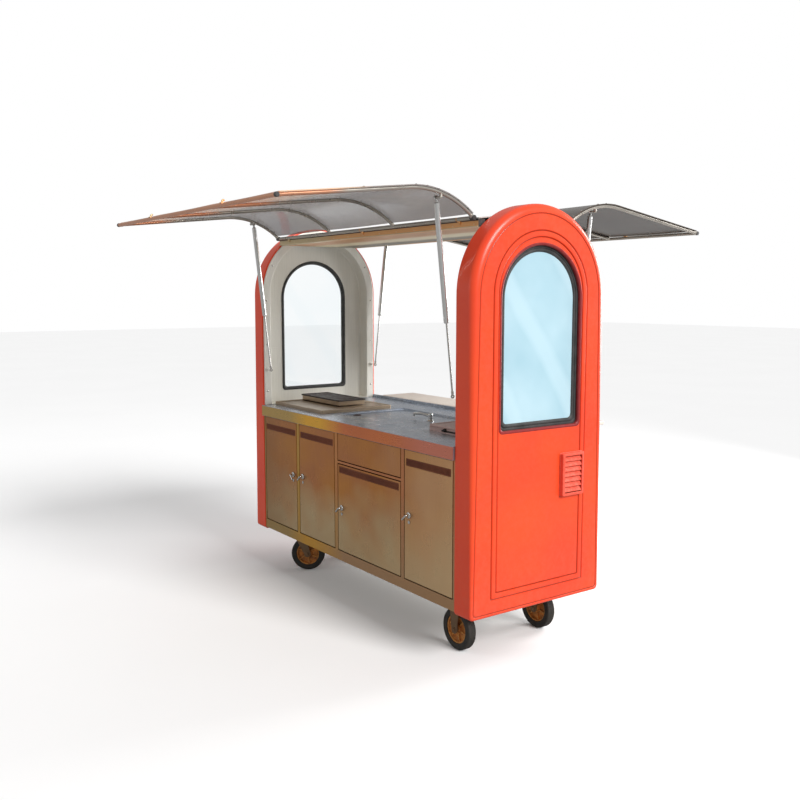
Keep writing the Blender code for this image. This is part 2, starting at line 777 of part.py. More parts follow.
def roof_beam(name, side):
    """A box beam along one side of the roof, with the lugs of the awning's hinge."""
    ys = sorted((side * BEAM_OUTER, side * (BEAM_OUTER - BEAM_WIDTH)))
    beam = box(name, (-INNER_END, ys[0], BEAM_BOTTOM), (INNER_END, ys[1], BEAM_TOP))
    for number, x in enumerate(lug_places()):
        inner = side * (BEAM_OUTER - 0.008)
        nose = arc((HINGE_Y, HINGE_Z), LUG_ROUND, math.pi / 2, -math.pi / 2, 8)
        nose = [(side * y, z) for y, z in nose]
        ledge = (side * (BEAM_OUTER + 0.0015), BEAM_TOP - 0.001)
        outline = [(inner, BEAM_TOP - 0.001), ledge] + nose
        outline += [(side * BEAM_OUTER, HINGE_Z - LUG_FOOT), (inner, HINGE_Z - LUG_FOOT)]
        hole = arc((side * HINGE_Y, HINGE_Z), HINGE_PIN_RADIUS + PIN_FIT, 0.0,
                   2 * math.pi * 15 / 16, 15)
        lug = plate("%s_lug_%d" % (name, number), "YZ", [outline, hole],
                    x - LUG_THICK / 2, x + LUG_THICK / 2)
        join(beam, lug)
    return dress(beam, (0.70, 0.50, 0.24), 0.3, 0.8)


def build_roof():
    """Two beams, the crowned skin on them and the ceiling between them."""
    roof_beam("front_roof_beam", -1)
    roof_beam("back_roof_beam", 1)
    low = BEAM_TOP + TOUCH
    radius = (BEAM_OUTER ** 2 + ROOF_CROWN ** 2) / (2 * ROOF_CROWN)
    spread = math.asin(BEAM_OUTER / radius)
    centre = (0.0, low + ROOF_CROWN - radius)
    quarter = math.pi / 2
    under = arc(centre, radius, quarter + spread, quarter - spread, 18)
    over = [(y, z + ROOF_SKIN) for y, z in reversed(under)]
    skin = plate("roof_skin", "YZ", [under + over], -INNER_END, INNER_END)
    smooth(skin)
    dress(skin, (0.78, 0.78, 0.76), 0.4, 0.3)
    half = BEAM_OUTER - BEAM_WIDTH - TOUCH
    base = BEAM_BOTTOM + CEILING_LIFT
    ceiling = box("ceiling", (-INNER_END, -half, base), (INNER_END, half, base + CEILING))
    dress(ceiling, (0.72, 0.72, 0.68), 0.4, 0.3)


# ================================================================= awnings
def open_place(out, up, opening, face):
    """Turn a place given for the shut awning, from its hinge, to the open one."""
    swung_out = out * math.cos(opening) - up * math.sin(opening)
    swung_up = out * math.sin(opening) + up * math.cos(opening)
    return face * (HINGE_Y + swung_out), HINGE_Z + swung_up


def awning_line(offset, opening, face, start=0.0, short=0.0, steps=9):
    """The awning's section at a distance outside its ribs' centre line, as (y, z)."""
    first = BEND_TURN - start / AWNING_BEND
    points = []
    for i in range(steps + 1):
        angle = first * (1 - i / steps)
        out = (AWNING_BEND + offset) * math.cos(angle) - AWNING_BEND * math.cos(BEND_TURN)
        up = (AWNING_BEND + offset) * math.sin(angle) - AWNING_BEND * math.sin(BEND_TURN)
        points.append(open_place(out, up, opening, face))
    points.append(open_place(out, up - STRAIGHT + short, opening, face))
    return points


def strut_grip(opening, face, drop=GRIP_DROP):
    """The upper pivot of a gas strut, a drop inside the centre line of the end rib."""
    tilt = opening + BEND_TURN - math.pi / 2
    lean = math.asin(math.sin(tilt) - STRUT_GRIP / AWNING_BEND)
    angle = lean - opening + math.pi / 2
    radius = AWNING_BEND - drop
    out = radius * math.cos(angle) - AWNING_BEND * math.cos(BEND_TURN)
    up = radius * math.sin(angle) - AWNING_BEND * math.sin(BEND_TURN)
    return open_place(out, up, opening, face)


def strut_foot(face):
    """The lower pin of a gas strut, on the end lining."""
    return face * (HALF_DEPTH - STRUT_FOOT_Y), COUNTER_HEIGHT + STRUT_FOOT_Z


def hinge_rail(name, y, z):
    """The rail on the hinge line: a thin pin with thicker lengths between the lugs."""
    rail = rod(name, (-AWNING_HALF + 0.002, y, z), (AWNING_HALF - 0.002, y, z),
               HINGE_PIN_RADIUS, 12)
    stops = [-AWNING_HALF]
    for x in lug_places():
        stops += [x - LUG_SLOT / 2, x + LUG_SLOT / 2]
    stops.append(AWNING_HALF)
    for number in range(0, len(stops), 2):
        length = rod("%s_length_%d" % (name, number), (stops[number], y, z),
                     (stops[number + 1], y, z), HINGE_RAIL_RADIUS, 12)
        join(rail, length)
    return rail


def awning(name, face, opening):
    """An awning: a welded frame with ribs, and the sheet that lies on it."""
    frame = hinge_rail(name + "_frame", face * HINGE_Y, HINGE_Z)
    centre = awning_line(0.0, opening, face)
    tip_y, tip_z = centre[-1]
    join(frame, rod(name + "_outer_rail", (-AWNING_HALF, tip_y, tip_z),
                    (AWNING_HALF, tip_y, tip_z), OUTER_RAIL_RADIUS, 12))
    for number in range(RIB_COUNT):
        x = -RIB_END + 2 * RIB_END * number / (RIB_COUNT - 1)
        line = [(x, y, z) for y, z in centre]
        join(frame, tube("%s_rib_%d" % (name, number), line, RIB_RADIUS, 1))
    grip_y, grip_z = strut_grip(opening, face)
    for side in (-1, 1):
        on_rib = (side * RIB_END, *strut_grip(opening, face, 0.0))
        ear = rod("%s_ear_%d" % (name, side), on_rib, (side * RIB_END, grip_y, grip_z),
                  EAR_RADIUS, 12)
        inner = side * (STRUT_X - EYE_THICK / 2 - 0.002)
        stud = rod("%s_stud_%d" % (name, side), (side * (RIB_END + 0.003), grip_y, grip_z),
                   (inner, grip_y, grip_z), STUD_RADIUS, 16)
        join(frame, ear, stud)
        knob_x = side * KNOB_SPREAD
        knob = rod("%s_knob_%d" % (name, side), (knob_x, tip_y, tip_z),
                   (knob_x, tip_y, tip_z + KNOB_HEIGHT), KNOB_RADIUS, 10)
        join(frame, knob)
    dress(frame, (0.72, 0.70, 0.66), 0.3, 0.8)
    inner_side = RIB_RADIUS + TOUCH
    under = awning_line(inner_side, opening, face, SHEET_START, OUTER_RAIL_RADIUS + 0.002)
    over = awning_line(inner_side + SHEET, opening, face, SHEET_START,
                       OUTER_RAIL_RADIUS + 0.002)
    sheet = plate(name + "_sheet", "YZ", [under + list(reversed(over))],
                  -AWNING_HALF + 0.001, AWNING_HALF - 0.001)
    smooth(sheet)
    dress(sheet, (0.42, 0.38, 0.38), 0.15)
    hold([frame, sheet], name + "_hinge", (0.0, face * HINGE_Y, HINGE_Z))


def gas_strut(name, side, face, opening):
    """A cylinder hung from the awning and a rod that slides in it."""
    top = Vector((side * STRUT_X, *strut_grip(opening, face)))
    foot = Vector((side * STRUT_X, *strut_foot(face)))
    run = foot - top
    reach = run.length
    lean = math.atan2(run.y, -run.z)
    pivot = local_pivot(name + "_pivot", top, (lean, 0.0, 0.0))
    cylinder = rod(name + "_cylinder", (0, 0, -0.014), (0, 0, -CYLINDER_LENGTH),
                   CYLINDER_RADIUS, 20)
    cylinder.parent = pivot
    half = EYE_THICK / 2
    eye = rod(name + "_eye", (-half, 0, 0), (half, 0, 0), EYE_RADIUS, 20)
    neck = box(name + "_neck", (-half, -0.005, -0.020), (half, 0.005, -0.006))
    hole = rod(name + "_eye_hole", (-0.02, 0, 0), (0.02, 0, 0), STUD_RADIUS + PIN_FIT, 16)
    bore = rod(name + "_bore", (0, 0, -CYLINDER_LENGTH + CYLINDER_BORE),
               (0, 0, -CYLINDER_LENGTH - 0.01), ROD_RADIUS + PIN_FIT, 16)
    for tool in (eye, neck, hole, bore):
        tool.parent = pivot
    join(cylinder, eye, neck)
    cut(cylinder, hole, bore)
    dress(cylinder, (0.80, 0.80, 0.80), 0.25, 0.9)
    sliding = local_pivot(name + "_slide", (0, 0, 0), (0, 0, 0), pivot)
    shaft = rod(name + "_rod", (0, 0, -reach + 0.004), (0, 0, -reach + ROD_LENGTH),
                ROD_RADIUS, 16)
    lower_eye = rod(name + "_lower_eye", (-half, 0, -reach), (half, 0, -reach),
                    EYE_RADIUS - 0.0015, 20)
    for piece in (shaft, lower_eye):
        piece.parent = sliding
    join(shaft, lower_eye)
    dress(shaft, (0.62, 0.60, 0.58), 0.2, 1.0)


def build_awnings():
    """Both awnings with two gas struts each."""
    for name, face, opening in (("front", -1, FRONT_OPENING), ("back", 1, BACK_OPENING)):
        awning(name + "_awning", face, opening)
        gas_strut(name + "_left_strut", -1, face, opening)
        gas_strut(name + "_right_strut", 1, face, opening)


# ================================================================= casters
def caster_fork(name, pivot, trail, swivels):
    """A pressed fork: a crown with two legs and the axle through them."""
    half = TYRE_WIDTH / 2 + RUN + FORK_LEG
    crown_top = FRAME_BOTTOM - TOUCH - CASTER_PLATE[2] - (CROWN_DROP if swivels else -0.001)
    round_end = arc((trail, WHEEL_RADIUS), FORK_ROUND, math.pi, 2 * math.pi, 10)
    outline = [(-FORK_SHOULDER, crown_top)] + round_end + [(FORK_SHOULDER, crown_top)]
    fork = plate(name, "XZ", [outline], -half, half)
    fork.parent = pivot
    slot = box(name + "_slot", (-0.2, -half + FORK_LEG, 0.0),
               (0.2, half - FORK_LEG, 2 * WHEEL_RADIUS + RUN))
    axle = rod(name + "_axle", (trail, -half - 0.004, WHEEL_RADIUS),
               (trail, half + 0.004, WHEEL_RADIUS), AXLE_RADIUS, 16)
    for tool in (slot, axle):
        tool.parent = pivot
    cut(fork, slot)
    join(fork, axle)
    return dress(fork, (0.50, 0.46, 0.40), 0.4, 0.8)


def caster_plate(name, pivot):
    """The flat plate that bolts under the frame."""
    long, wide, thick = CASTER_PLATE
    top = FRAME_BOTTOM - TOUCH
    part = box(name, (-long / 2, -wide / 2, top - thick), (long / 2, wide / 2, top))
    part.parent = pivot
    return part


def wheel(name, pivot, trail):
    """A rubber tyre on a cast hub that runs on the axle."""
    spin = local_pivot(name + "_axle_line", (trail, 0, WHEEL_RADIUS), (math.radians(90), 0, 0),
                       pivot)
    half = TYRE_WIDTH / 2
    shoulder = 0.010
    tread = arc((WHEEL_RADIUS - shoulder, half - shoulder), shoulder, math.pi / 2, 0.0, 3)
    lower = [(r, -h) for r, h in reversed(tread)]
    profile = [(TYRE_SEAT, half - 0.002)] + tread + lower + [(TYRE_SEAT, -half + 0.002)]
    tyre = turned(name + "_tyre", profile)
    dress(tyre, (0.035, 0.035, 0.035), 0.8)
    rim, boss, web = TYRE_SEAT - TOUCH, 0.020, 0.006
    bore, hub_half = AXLE_RADIUS + PIN_FIT, HUB_WIDTH / 2
    side = [(bore, hub_half), (boss, hub_half), (boss + 0.004, web), (rim - 0.012, web),
            (rim - 0.008, hub_half - 0.004), (rim, hub_half - 0.004)]
    hub = turned(name + "_hub", side + [(r, -h) for r, h in reversed(side)])
    dress(hub, (0.45, 0.30, 0.12), 0.5, 0.7)
    for part in (tyre, hub):
        part.parent = spin


def build_casters():
    """Two fixed casters at the right end and two swivel casters at the left end."""
    for name, y in (("front", -CASTER_Y), ("back", CASTER_Y)):
        fixed = local_pivot(name + "_right_caster", (HALF_LENGTH - RIGHT_CASTER_INSET, y, 0),
                            (0, 0, 0))
        fork = caster_fork(name + "_right_fork", fixed, 0.0, False)
        join(fork, caster_plate(name + "_right_plate", fixed))
        wheel(name + "_right_wheel", fixed, 0.0)
        place = (-HALF_LENGTH + LEFT_CASTER_INSET, y, 0)
        mounted = local_pivot(name + "_left_caster", place, (0, 0, 0))
        base = caster_plate(name + "_left_caster_plate", mounted)
        under = FRAME_BOTTOM - TOUCH - CASTER_PLATE[2]
        kingpin = rod(name + "_kingpin", (0, 0, under + 0.002), (0, 0, under - KINGPIN_LENGTH),
                      KINGPIN_RADIUS, 16)
        kingpin.parent = mounted
        join(base, kingpin)
        dress(base, (0.50, 0.46, 0.40), 0.4, 0.8)
        swivel = local_pivot(name + "_left_swivel", place, (0, 0, CASTER_YAW))
        fork = caster_fork(name + "_left_fork", swivel, CASTER_TRAIL, True)
        bearing = rod(name + "_bearing", (0, 0, under - KINGPIN_LENGTH - 0.03),
                      (0, 0, under + 0.03), KINGPIN_RADIUS + PIN_FIT, 16)
        bearing.parent = swivel
        cut(fork, bearing)
        wheel(name + "_left_wheel", swivel, CASTER_TRAIL)


def build():
    """Model the whole cart."""
    global PARTS, CUTTERS
    clear_scene()
    PARTS = new_collection("mobile_food_cart")
    CUTTERS = new_collection("cutters")
    build_ends()
    build_base()
    build_cabinet()
    build_doors()
    build_worktop()
    build_tap()
    build_cooking()
    build_shelf()
    build_roof()
    build_awnings()
    build_casters()


build()
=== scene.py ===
"""Finished look of the mobile food cart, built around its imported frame.

Metres, +Z up, in the frame's own coordinates: the front with the cabinet doors faces -Y and
the right end panel is at +X. Each sub-assembly is a class that builds its fine pieces and
dresses the frame's nodes that it keeps.
"""

import json
import logging
import math
from dataclasses import dataclass, field
from enum import Enum
from typing import Iterable, Sequence

import bmesh
import bpy
from mathutils import Matrix, Vector

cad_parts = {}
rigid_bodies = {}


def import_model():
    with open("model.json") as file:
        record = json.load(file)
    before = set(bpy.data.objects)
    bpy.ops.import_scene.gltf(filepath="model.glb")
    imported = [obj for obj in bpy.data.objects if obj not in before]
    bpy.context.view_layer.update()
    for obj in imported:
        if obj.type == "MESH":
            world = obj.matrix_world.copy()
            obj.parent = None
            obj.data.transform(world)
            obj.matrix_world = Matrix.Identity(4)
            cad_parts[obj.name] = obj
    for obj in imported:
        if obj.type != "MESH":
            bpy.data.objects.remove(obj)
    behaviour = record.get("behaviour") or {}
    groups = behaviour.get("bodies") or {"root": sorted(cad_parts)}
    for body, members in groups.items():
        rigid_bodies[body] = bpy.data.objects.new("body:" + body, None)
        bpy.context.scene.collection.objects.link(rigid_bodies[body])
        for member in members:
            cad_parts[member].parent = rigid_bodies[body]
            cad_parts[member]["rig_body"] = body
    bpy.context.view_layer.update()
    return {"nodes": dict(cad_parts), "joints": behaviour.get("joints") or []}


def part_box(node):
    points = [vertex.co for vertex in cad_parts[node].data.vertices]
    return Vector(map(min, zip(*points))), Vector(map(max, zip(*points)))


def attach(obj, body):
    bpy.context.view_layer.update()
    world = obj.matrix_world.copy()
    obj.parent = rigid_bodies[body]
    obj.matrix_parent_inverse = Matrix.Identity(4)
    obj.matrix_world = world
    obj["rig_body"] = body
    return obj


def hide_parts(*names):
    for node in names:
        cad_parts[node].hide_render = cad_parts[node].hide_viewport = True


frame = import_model()

Flat = tuple[float, float]
Point = tuple[float, float, float]
Colour = tuple[float, float, float]
Triple = Sequence[float]
Loop = Sequence[Triple]
Thing = bpy.types.Object
Socket = bpy.types.NodeSocket

LOG = logging.getLogger("food_cart")
TOUCH = 0.0003
QUARTER = math.pi / 2


# ---- frame facts
def joint(name: str) -> dict:
    """Find a joint of the frame.

    Args:
        name: the joint's name in the record.

    Returns:
        The joint's row, with its place, axis and range.
    """
    return next(row for row in frame["joints"] if row["name"] == name)


def low_high(node: str) -> tuple[Vector, Vector]:
    """Lowest and highest corner of a node at rest."""
    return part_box(node)


SHELL_LOW, SHELL_HIGH = low_high("right_end_shell")
HALF_LENGTH = SHELL_HIGH.x
HALF_DEPTH = SHELL_HIGH.y
PANEL_BOTTOM = SHELL_LOW.z
CART_HEIGHT = SHELL_HIGH.z
INNER_FACE = SHELL_LOW.x
FLANGE_FACE = INNER_FACE - 0.0033
CASE_END = low_high("cabinet_carcass")[1].x
CABINET_FRONT = low_high("cabinet_face_frame")[0].y
COUNTER = low_high("serving_shelf")[0].z
FRAME_BOTTOM = low_high("base_frame")[0].z
STUD_HEIGHT = COUNTER + 0.213
STUD_DEPTH = HALF_DEPTH - 0.028
LUGS = (-0.7922, 0.0, 0.7922)
SEAMS = (-0.46, 0.0, 0.46)


def between_lugs(half: float, gap: float) -> list[Flat]:
    """Lengths along X that leave the hinge lugs free.

    Args:
        half: half of the whole length.
        gap: distance kept from the middle of each lug.

    Returns:
        Start and end of each length.
    """
    stops = [-half]
    for x in LUGS:
        stops += [x - gap, x + gap]
    stops.append(half)
    return list(zip(stops[0::2], stops[1::2]))


# ---- node graphs
def display(*levels: int) -> Colour:
    """Turn a colour as a screen shows it into linear light.

    Args:
        levels: its red, green and blue, 0 to 255.

    Returns:
        The same channels in linear light.
    """
    shares = [level / 255 for level in levels]
    return tuple(share / 12.92 if share <= 0.04045 else ((share + 0.055) / 1.055) ** 2.4
                 for share in shares)


class Graph:
    """A node tree, with short ways to add nodes and join them."""

    def __init__(self, tree: bpy.types.NodeTree) -> None:
        """Keep the tree."""
        self.tree = tree

    def add(self, kind: str, **settings: object) -> bpy.types.Node:
        """Add a node and set its options.

        Args:
            kind: the node's type.
            settings: its options by name.

        Returns:
            The node.
        """
        node = self.tree.nodes.new(kind)
        for name, value in settings.items():
            setattr(node, name, value)
        return node

    def feed(self, socket: Socket, value: object) -> None:
        """Join another socket to this one, or set its value.

        Args:
            socket: the input that takes the value.
            value: an output socket, a number, a vector or a colour.
        """
        if isinstance(value, bpy.types.NodeSocket):
            self.tree.links.new(value, socket)
        elif socket.type == "RGBA":
            socket.default_value = (*value[:3], 1.0)
        else:
            socket.default_value = value

    def step(self, kind: str, given: dict[int | str, object], out: int = 0,
             **settings: object) -> Socket:
        """Add a node and join its inputs.

        Args:
            kind: the node's type.
            given: what its inputs take, by their number or name.
            out: number of the output that is wanted.
            settings: its options by name.

        Returns:
            The output.
        """
        node = self.add(kind, **settings)
        for key, value in given.items():
            self.feed(node.inputs[key], value)
        return node.outputs[out]

    def maths(self, operation: str, first: object, second: object = 0.0) -> Socket:
        """One step of arithmetic."""
        return self.step("ShaderNodeMath", {0: first, 1: second}, operation=operation)

    def mix(self, share: object, first: object, second: object) -> Socket:
        """Blend two colours by a share."""
        return self.step("ShaderNodeMix", {0: share, 6: first, 7: second}, 2, data_type="RGBA")

    def noise(self, vector: object, scale: object, detail: float = 4.0,
              rough: float = 0.6) -> Socket:
        """Noise between 0 and 1 at a scale in waves per metre."""
        return self.step("ShaderNodeTexNoise", {"Vector": vector, "Scale": scale, "Detail": detail,
                                                "Roughness": rough})

    def span(self, value: object, low: float, high: float, to_low: float = 0.0,
             to_high: float = 1.0) -> Socket:
        """Stretch a range of values to another and clamp it."""
        return self.step("ShaderNodeMapRange", dict(enumerate((value, low, high, to_low, to_high))))

    def scaled(self, vector: object, scale: object) -> Socket:
        """Multiply a vector by another, axis by axis."""
        return self.step("ShaderNodeVectorMath", {0: vector, 1: scale}, operation="MULTIPLY")

    def place(self) -> Socket:
        """The point on the object, in metres."""
        return self.add("ShaderNodeTexCoord").outputs["Object"]

    def axis(self, vector: object, index: int) -> Socket:
        """One coordinate of a vector."""
        return self.step("ShaderNodeSeparateXYZ", {0: vector}, index)

    def seen(self) -> Socket:
        """1 where the eye looks, straight or through glass, and 0 for bounced light."""
        path = self.add("ShaderNodeLightPath").outputs
        return self.maths("MAXIMUM", path["Is Camera Ray"], path["Is Transmission Ray"])

    def effect(self, kind: "Effect", **values: object) -> bpy.types.Node:
        """Place a shared effect with its own values.

        Args:
            kind: which effect.
            values: its inputs by name, with _ for a space.

        Returns:
            The group node, whose outputs are read by name.
        """
        node = self.add("ShaderNodeGroup", node_tree=effect_tree(kind))
        for name, value in values.items():
            self.feed(node.inputs[name.replace("_", " ")], value)
        return node


class Effect(Enum):
    """Surface effects that several finishes share."""

    BRUSHED = "brushed_grain"
    DRIFT = "tone_drift"
    WEAR = "edge_wear"
    GRIME = "hollow_grime"
    DUST = "settled_dust"
    PEEL = "moulded_skin"


EFFECT_SOCKETS: dict[Effect, tuple[dict[str, object], tuple[str, ...]]] = {
    Effect.BRUSHED: ({"Tint": (0.5, 0.5, 0.5), "Shade": (0.3, 0.3, 0.3),
                      "Grain": Vector((6.0, 300.0, 300.0)), "Gloss": 0.35, "Smear": 0.5},
                     ("Color", "Roughness", "Height")),
    Effect.DRIFT: ({"First": (0.5, 0.5, 0.5), "Second": (0.4, 0.4, 0.4), "Scale": 3.0,
                    "Amount": 0.5}, ("Color",)),
    Effect.WEAR: ({"Amount": 0.5, "Scale": 60.0}, ("Mask",)),
    Effect.GRIME: ({"Amount": 0.8}, ("Mask",)),
    Effect.DUST: ({"Amount": 0.4, "Level": 0.6}, ("Mask",)),
    Effect.PEEL: ({"Scale": 260.0, "Fine": 900.0}, ("Height",)),
}


def effect_tree(kind: Effect) -> bpy.types.NodeTree:
    """Get the node group of an effect, made at its first use.

    Args:
        kind: which effect.

    Returns:
        The node group.
    """
    found = bpy.data.node_groups.get(kind.value)
    if found:
        return found
    tree = bpy.data.node_groups.new(kind.value, "ShaderNodeTree")
    inputs, outputs = EFFECT_SOCKETS[kind]
    for name, value in inputs.items():
        plain = isinstance(value, float)
        vector = isinstance(value, Vector)
        sort = "NodeSocketFloat" if plain else "NodeSocketVector" if vector else "NodeSocketColor"
        socket = tree.interface.new_socket(name, in_out="INPUT", socket_type=sort)
        socket.default_value = value if plain or vector else (*value, 1.0)
    for name in outputs:
        sort = "NodeSocketColor" if name == "Color" else "NodeSocketFloat"
        tree.interface.new_socket(name, in_out="OUTPUT", socket_type=sort)
    EFFECT_MAKERS[kind](EffectGraph(tree))
    return tree


class EffectGraph(Graph):
    """The nodes of one shared effect, between its inputs and its outputs."""

    def __init__(self, tree: bpy.types.NodeTree) -> None:
        """Add the two ends to the tree."""
        super().__init__(tree)
        self.given = self.add("NodeGroupInput").outputs
        self.taken = self.add("NodeGroupOutput").inputs

    def brushed(self) -> None:
        """Long fine scratches with broad cloudy smears."""
        place = self.place()
        grain = self.noise(self.scaled(place, self.given["Grain"]), 1.0, 3.0, 0.7)
        cloud = self.noise(place, 3.2, 3.0, 0.55)
        patch = self.noise(place, 14.0, 2.0, 0.5)
        blend = self.maths("MULTIPLY", self.span(cloud, 0.35, 0.68), self.given["Smear"])
        colour = self.mix(blend, self.given["Tint"], self.given["Shade"])
        streak = self.mix(self.span(grain, 0.3, 0.75, 0.0, 0.12), colour, (0.02, 0.02, 0.02))
        self.feed(self.taken["Color"], streak)
        rough = self.maths("ADD", self.given["Gloss"], self.span(grain, 0.2, 0.8, -0.05, 0.08))
        self.feed(self.taken["Roughness"], self.maths("ADD", rough, self.span(patch, 0.3, 0.7, -0.04, 0.05)))
        self.feed(self.taken["Height"], grain)

    def drift(self) -> None:
        """A slow change from one tone to another over the surface."""
        cloud = self.noise(self.place(), self.given["Scale"], 3.0, 0.5)
        share = self.maths("MULTIPLY", self.span(cloud, 0.36, 0.66), self.given["Amount"])
        self.feed(self.taken["Color"], self.mix(share, self.given["First"], self.given["Second"]))

    def wear(self) -> None:
        """Rubbed edges: where the surface bends outward, broken up by noise."""
        bent = self.add("ShaderNodeNewGeometry").outputs["Pointiness"]
        edge = self.span(bent, 0.51, 0.60)
        broken = self.span(self.noise(self.place(), self.given["Scale"], 5.0, 0.7), 0.42, 0.62)
        share = self.maths("MULTIPLY", self.maths("MULTIPLY", edge, broken), self.given["Amount"])
        self.feed(self.taken["Mask"], share)

    def grime(self) -> None:
        """Painted shade in grooves: darker where the surface bends inward."""
        bent = self.add("ShaderNodeNewGeometry").outputs["Pointiness"]
        hollow = self.span(bent, 0.497, 0.470)
        self.feed(self.taken["Mask"], self.maths("MULTIPLY", hollow, self.given["Amount"]))

    def dust(self) -> None:
        """Dust on what faces up, and splashes that thin out above a level."""
        place = self.place()
        facing = self.axis(self.add("ShaderNodeNewGeometry").outputs["Normal"], 2)
        lying = self.span(facing, 0.55, 1.0, 0.0, 0.55)
        height = self.maths("DIVIDE", self.axis(place, 2), self.given["Level"])
        splash = self.span(height, 1.0, 0.25, 0.0, 0.6)
        both = self.maths("MAXIMUM", lying, splash)
        grit = self.span(self.noise(place, 38.0, 5.0, 0.7), 0.38, 0.68)
        share = self.maths("MULTIPLY", self.maths("MULTIPLY", both, grit), self.given["Amount"])
        self.feed(self.taken["Mask"], share)

    def peel(self) -> None:
        """The faint ripple of a moulded or rolled skin."""
        place = self.place()
        broad = self.noise(place, self.given["Scale"], 1.0, 0.4)
        fine = self.noise(place, self.given["Fine"], 2.0, 0.5)
        self.feed(self.taken["Height"], self.maths("ADD", broad, self.maths("MULTIPLY", fine, 0.25)))


EFFECT_MAKERS = {Effect.BRUSHED: EffectGraph.brushed, Effect.DRIFT: EffectGraph.drift,
                 Effect.WEAR: EffectGraph.wear, Effect.GRIME: EffectGraph.grime,
                 Effect.DUST: EffectGraph.dust, Effect.PEEL: EffectGraph.peel}


# ---- finishes
@dataclass(frozen=True)
class Finish:
    """What all finishes have: the record's slot and two tones.

    Attributes:
        slot: the record's material slot.
        base: the main tone, in linear light.
        second: the tone it drifts to.
        rough: the mean roughness.
        bump: depth of the fine relief in metres.
    """

    slot: str
    base: Colour
    second: Colour
    rough: float = 0.4
    bump: float = 0.0002

    def material(self, name: str) -> bpy.types.Material:
        """Make the material.

        Args:
            name: the material's name.

        Returns:
            A node material whose Principled shader this finish paints.
        """
        made = bpy.data.materials.new(name)
        made.use_nodes = True
        made.diffuse_color = (*self.base, 1.0)
        shader = made.node_tree.nodes["Principled BSDF"]
        self.paint(Graph(made.node_tree), shader)
        return made

    def paint(self, graph: Graph, shader: bpy.types.Node) -> None:
        """Set the shader's sockets; each kind of finish has its own."""
        raise NotImplementedError

    def relief(self, graph: Graph, shader: bpy.types.Node, height: Socket,
               strength: float = 0.5) -> None:
        """Lead a height to the shader's normal."""
        bump = graph.step("ShaderNodeBump", {"Strength": strength, "Distance": self.bump,
                                             "Height": height})
        graph.feed(shader.inputs["Normal"], bump)


@dataclass(frozen=True)
class Gelcoat(Finish):
    """Glossy moulded plastic with its gel coat, scuffed on the edges.

    Attributes:
        scuff: the tone under worn edges.
        dust: how much road dust it carries.
        coat: weight of the clear gloss.
    """

    scuff: Colour = (0.5, 0.2, 0.15)
    dust: float = 0.2
    coat: float = 0.22

    def paint(self, graph: Graph, shader: bpy.types.Node) -> None:
        """Drifting tone, painted shade in the grooves, rubbed edges, dust low down and a faint ripple.

        Args:
            graph: the material's nodes.
            shader: its Principled shader.
        """
        tone = graph.effect(Effect.DRIFT, First=self.base, Second=self.second, Scale=2.2,
                            Amount=0.7).outputs["Color"]
        rubbed = graph.effect(Effect.WEAR, Amount=0.3, Scale=45.0).outputs["Mask"]
        dusty = graph.effect(Effect.DUST, Amount=self.dust, Level=0.55).outputs["Mask"]
        # Painted shade: where the surface bends inward, the tone darkens to a third of the base.
        grime = graph.effect(Effect.GRIME, Amount=0.8).outputs["Mask"]
        hollow = graph.mix(grime, tone, tuple(0.32 * value for value in self.base))
        worn = graph.mix(rubbed, hollow, self.scuff)
        graph.feed(shader.inputs["Base Color"], graph.mix(dusty, worn, (0.34, 0.24, 0.17)))
        haze = graph.span(graph.noise(graph.place(), 9.0, 4.0), 0.3, 0.7, -0.05, 0.07)
        rough = graph.maths("ADD", graph.maths("ADD", haze, self.rough), dusty)
        graph.feed(shader.inputs["Roughness"], rough)
        shader.inputs["Coat Weight"].default_value = self.coat
        shader.inputs["Coat Roughness"].default_value = 0.25
        shader.inputs["Specular IOR Level"].default_value = 0.3
        peel = graph.effect(Effect.PEEL, Scale=120.0, Fine=700.0).outputs["Height"]
        self.relief(graph, shader, peel, 0.25)


@dataclass(frozen=True)
class Steel(Finish):
    """Sheet steel with a brushed grain and heat-tinted clouds.

    Attributes:
        grain: waves per metre along X, Y and Z; the grain runs along the smallest.
        metal: the metallic value.
        smear: how strongly the clouds show.
        dust: how much dust it carries.
        low_tone: the tone that it fades to near the floor, if any.
        shifts: tones that it turns to, each with the axis (0 to 2), and where the change
            starts and ends along it.
    """

    grain: Point = (5.0, 260.0, 260.0)
    metal: float = 0.8
    smear: float = 0.7
    dust: float = 0.25
    low_tone: Colour | None = None
    shifts: tuple[tuple[Colour, int, float, float], ...] = ()

    def paint(self, graph: Graph, shader: bpy.types.Node) -> None:
        """Grain, clouds, turning tones and dust over a metal base.

        Args:
            graph: the material's nodes.
            shader: its Principled shader.
        """
        brushed = graph.effect(Effect.BRUSHED, Tint=self.base, Shade=self.second,
                               Grain=Vector(self.grain), Gloss=self.rough, Smear=self.smear)
        tone = brushed.outputs["Color"]
        place = graph.place()
        cloud = graph.span(graph.noise(place, 2.6, 2.0), 0.3, 0.7, -0.12, 0.12)
        if self.low_tone:
            height = graph.maths("ADD", graph.axis(place, 2), cloud)
            tone = graph.mix(graph.span(height, 0.66, 0.36), tone, self.low_tone)
        for colour, index, start, end in self.shifts:
            ripple = graph.maths("MULTIPLY", cloud, min(1.0, abs(end - start)))
            along = graph.maths("ADD", graph.axis(place, index), ripple)
            tone = graph.mix(graph.span(along, start, end), tone, colour)
        dusty = graph.effect(Effect.DUST, Amount=self.dust, Level=0.4).outputs["Mask"]
        graph.feed(shader.inputs["Base Color"], graph.mix(dusty, tone, (0.30, 0.24, 0.18)))
        rough = graph.maths("ADD", brushed.outputs["Roughness"], graph.maths("MULTIPLY", dusty, 0.5))
        graph.feed(shader.inputs["Roughness"], rough)
        shader.inputs["Metallic"].default_value = self.metal
        self.relief(graph, shader, brushed.outputs["Height"], 0.22)


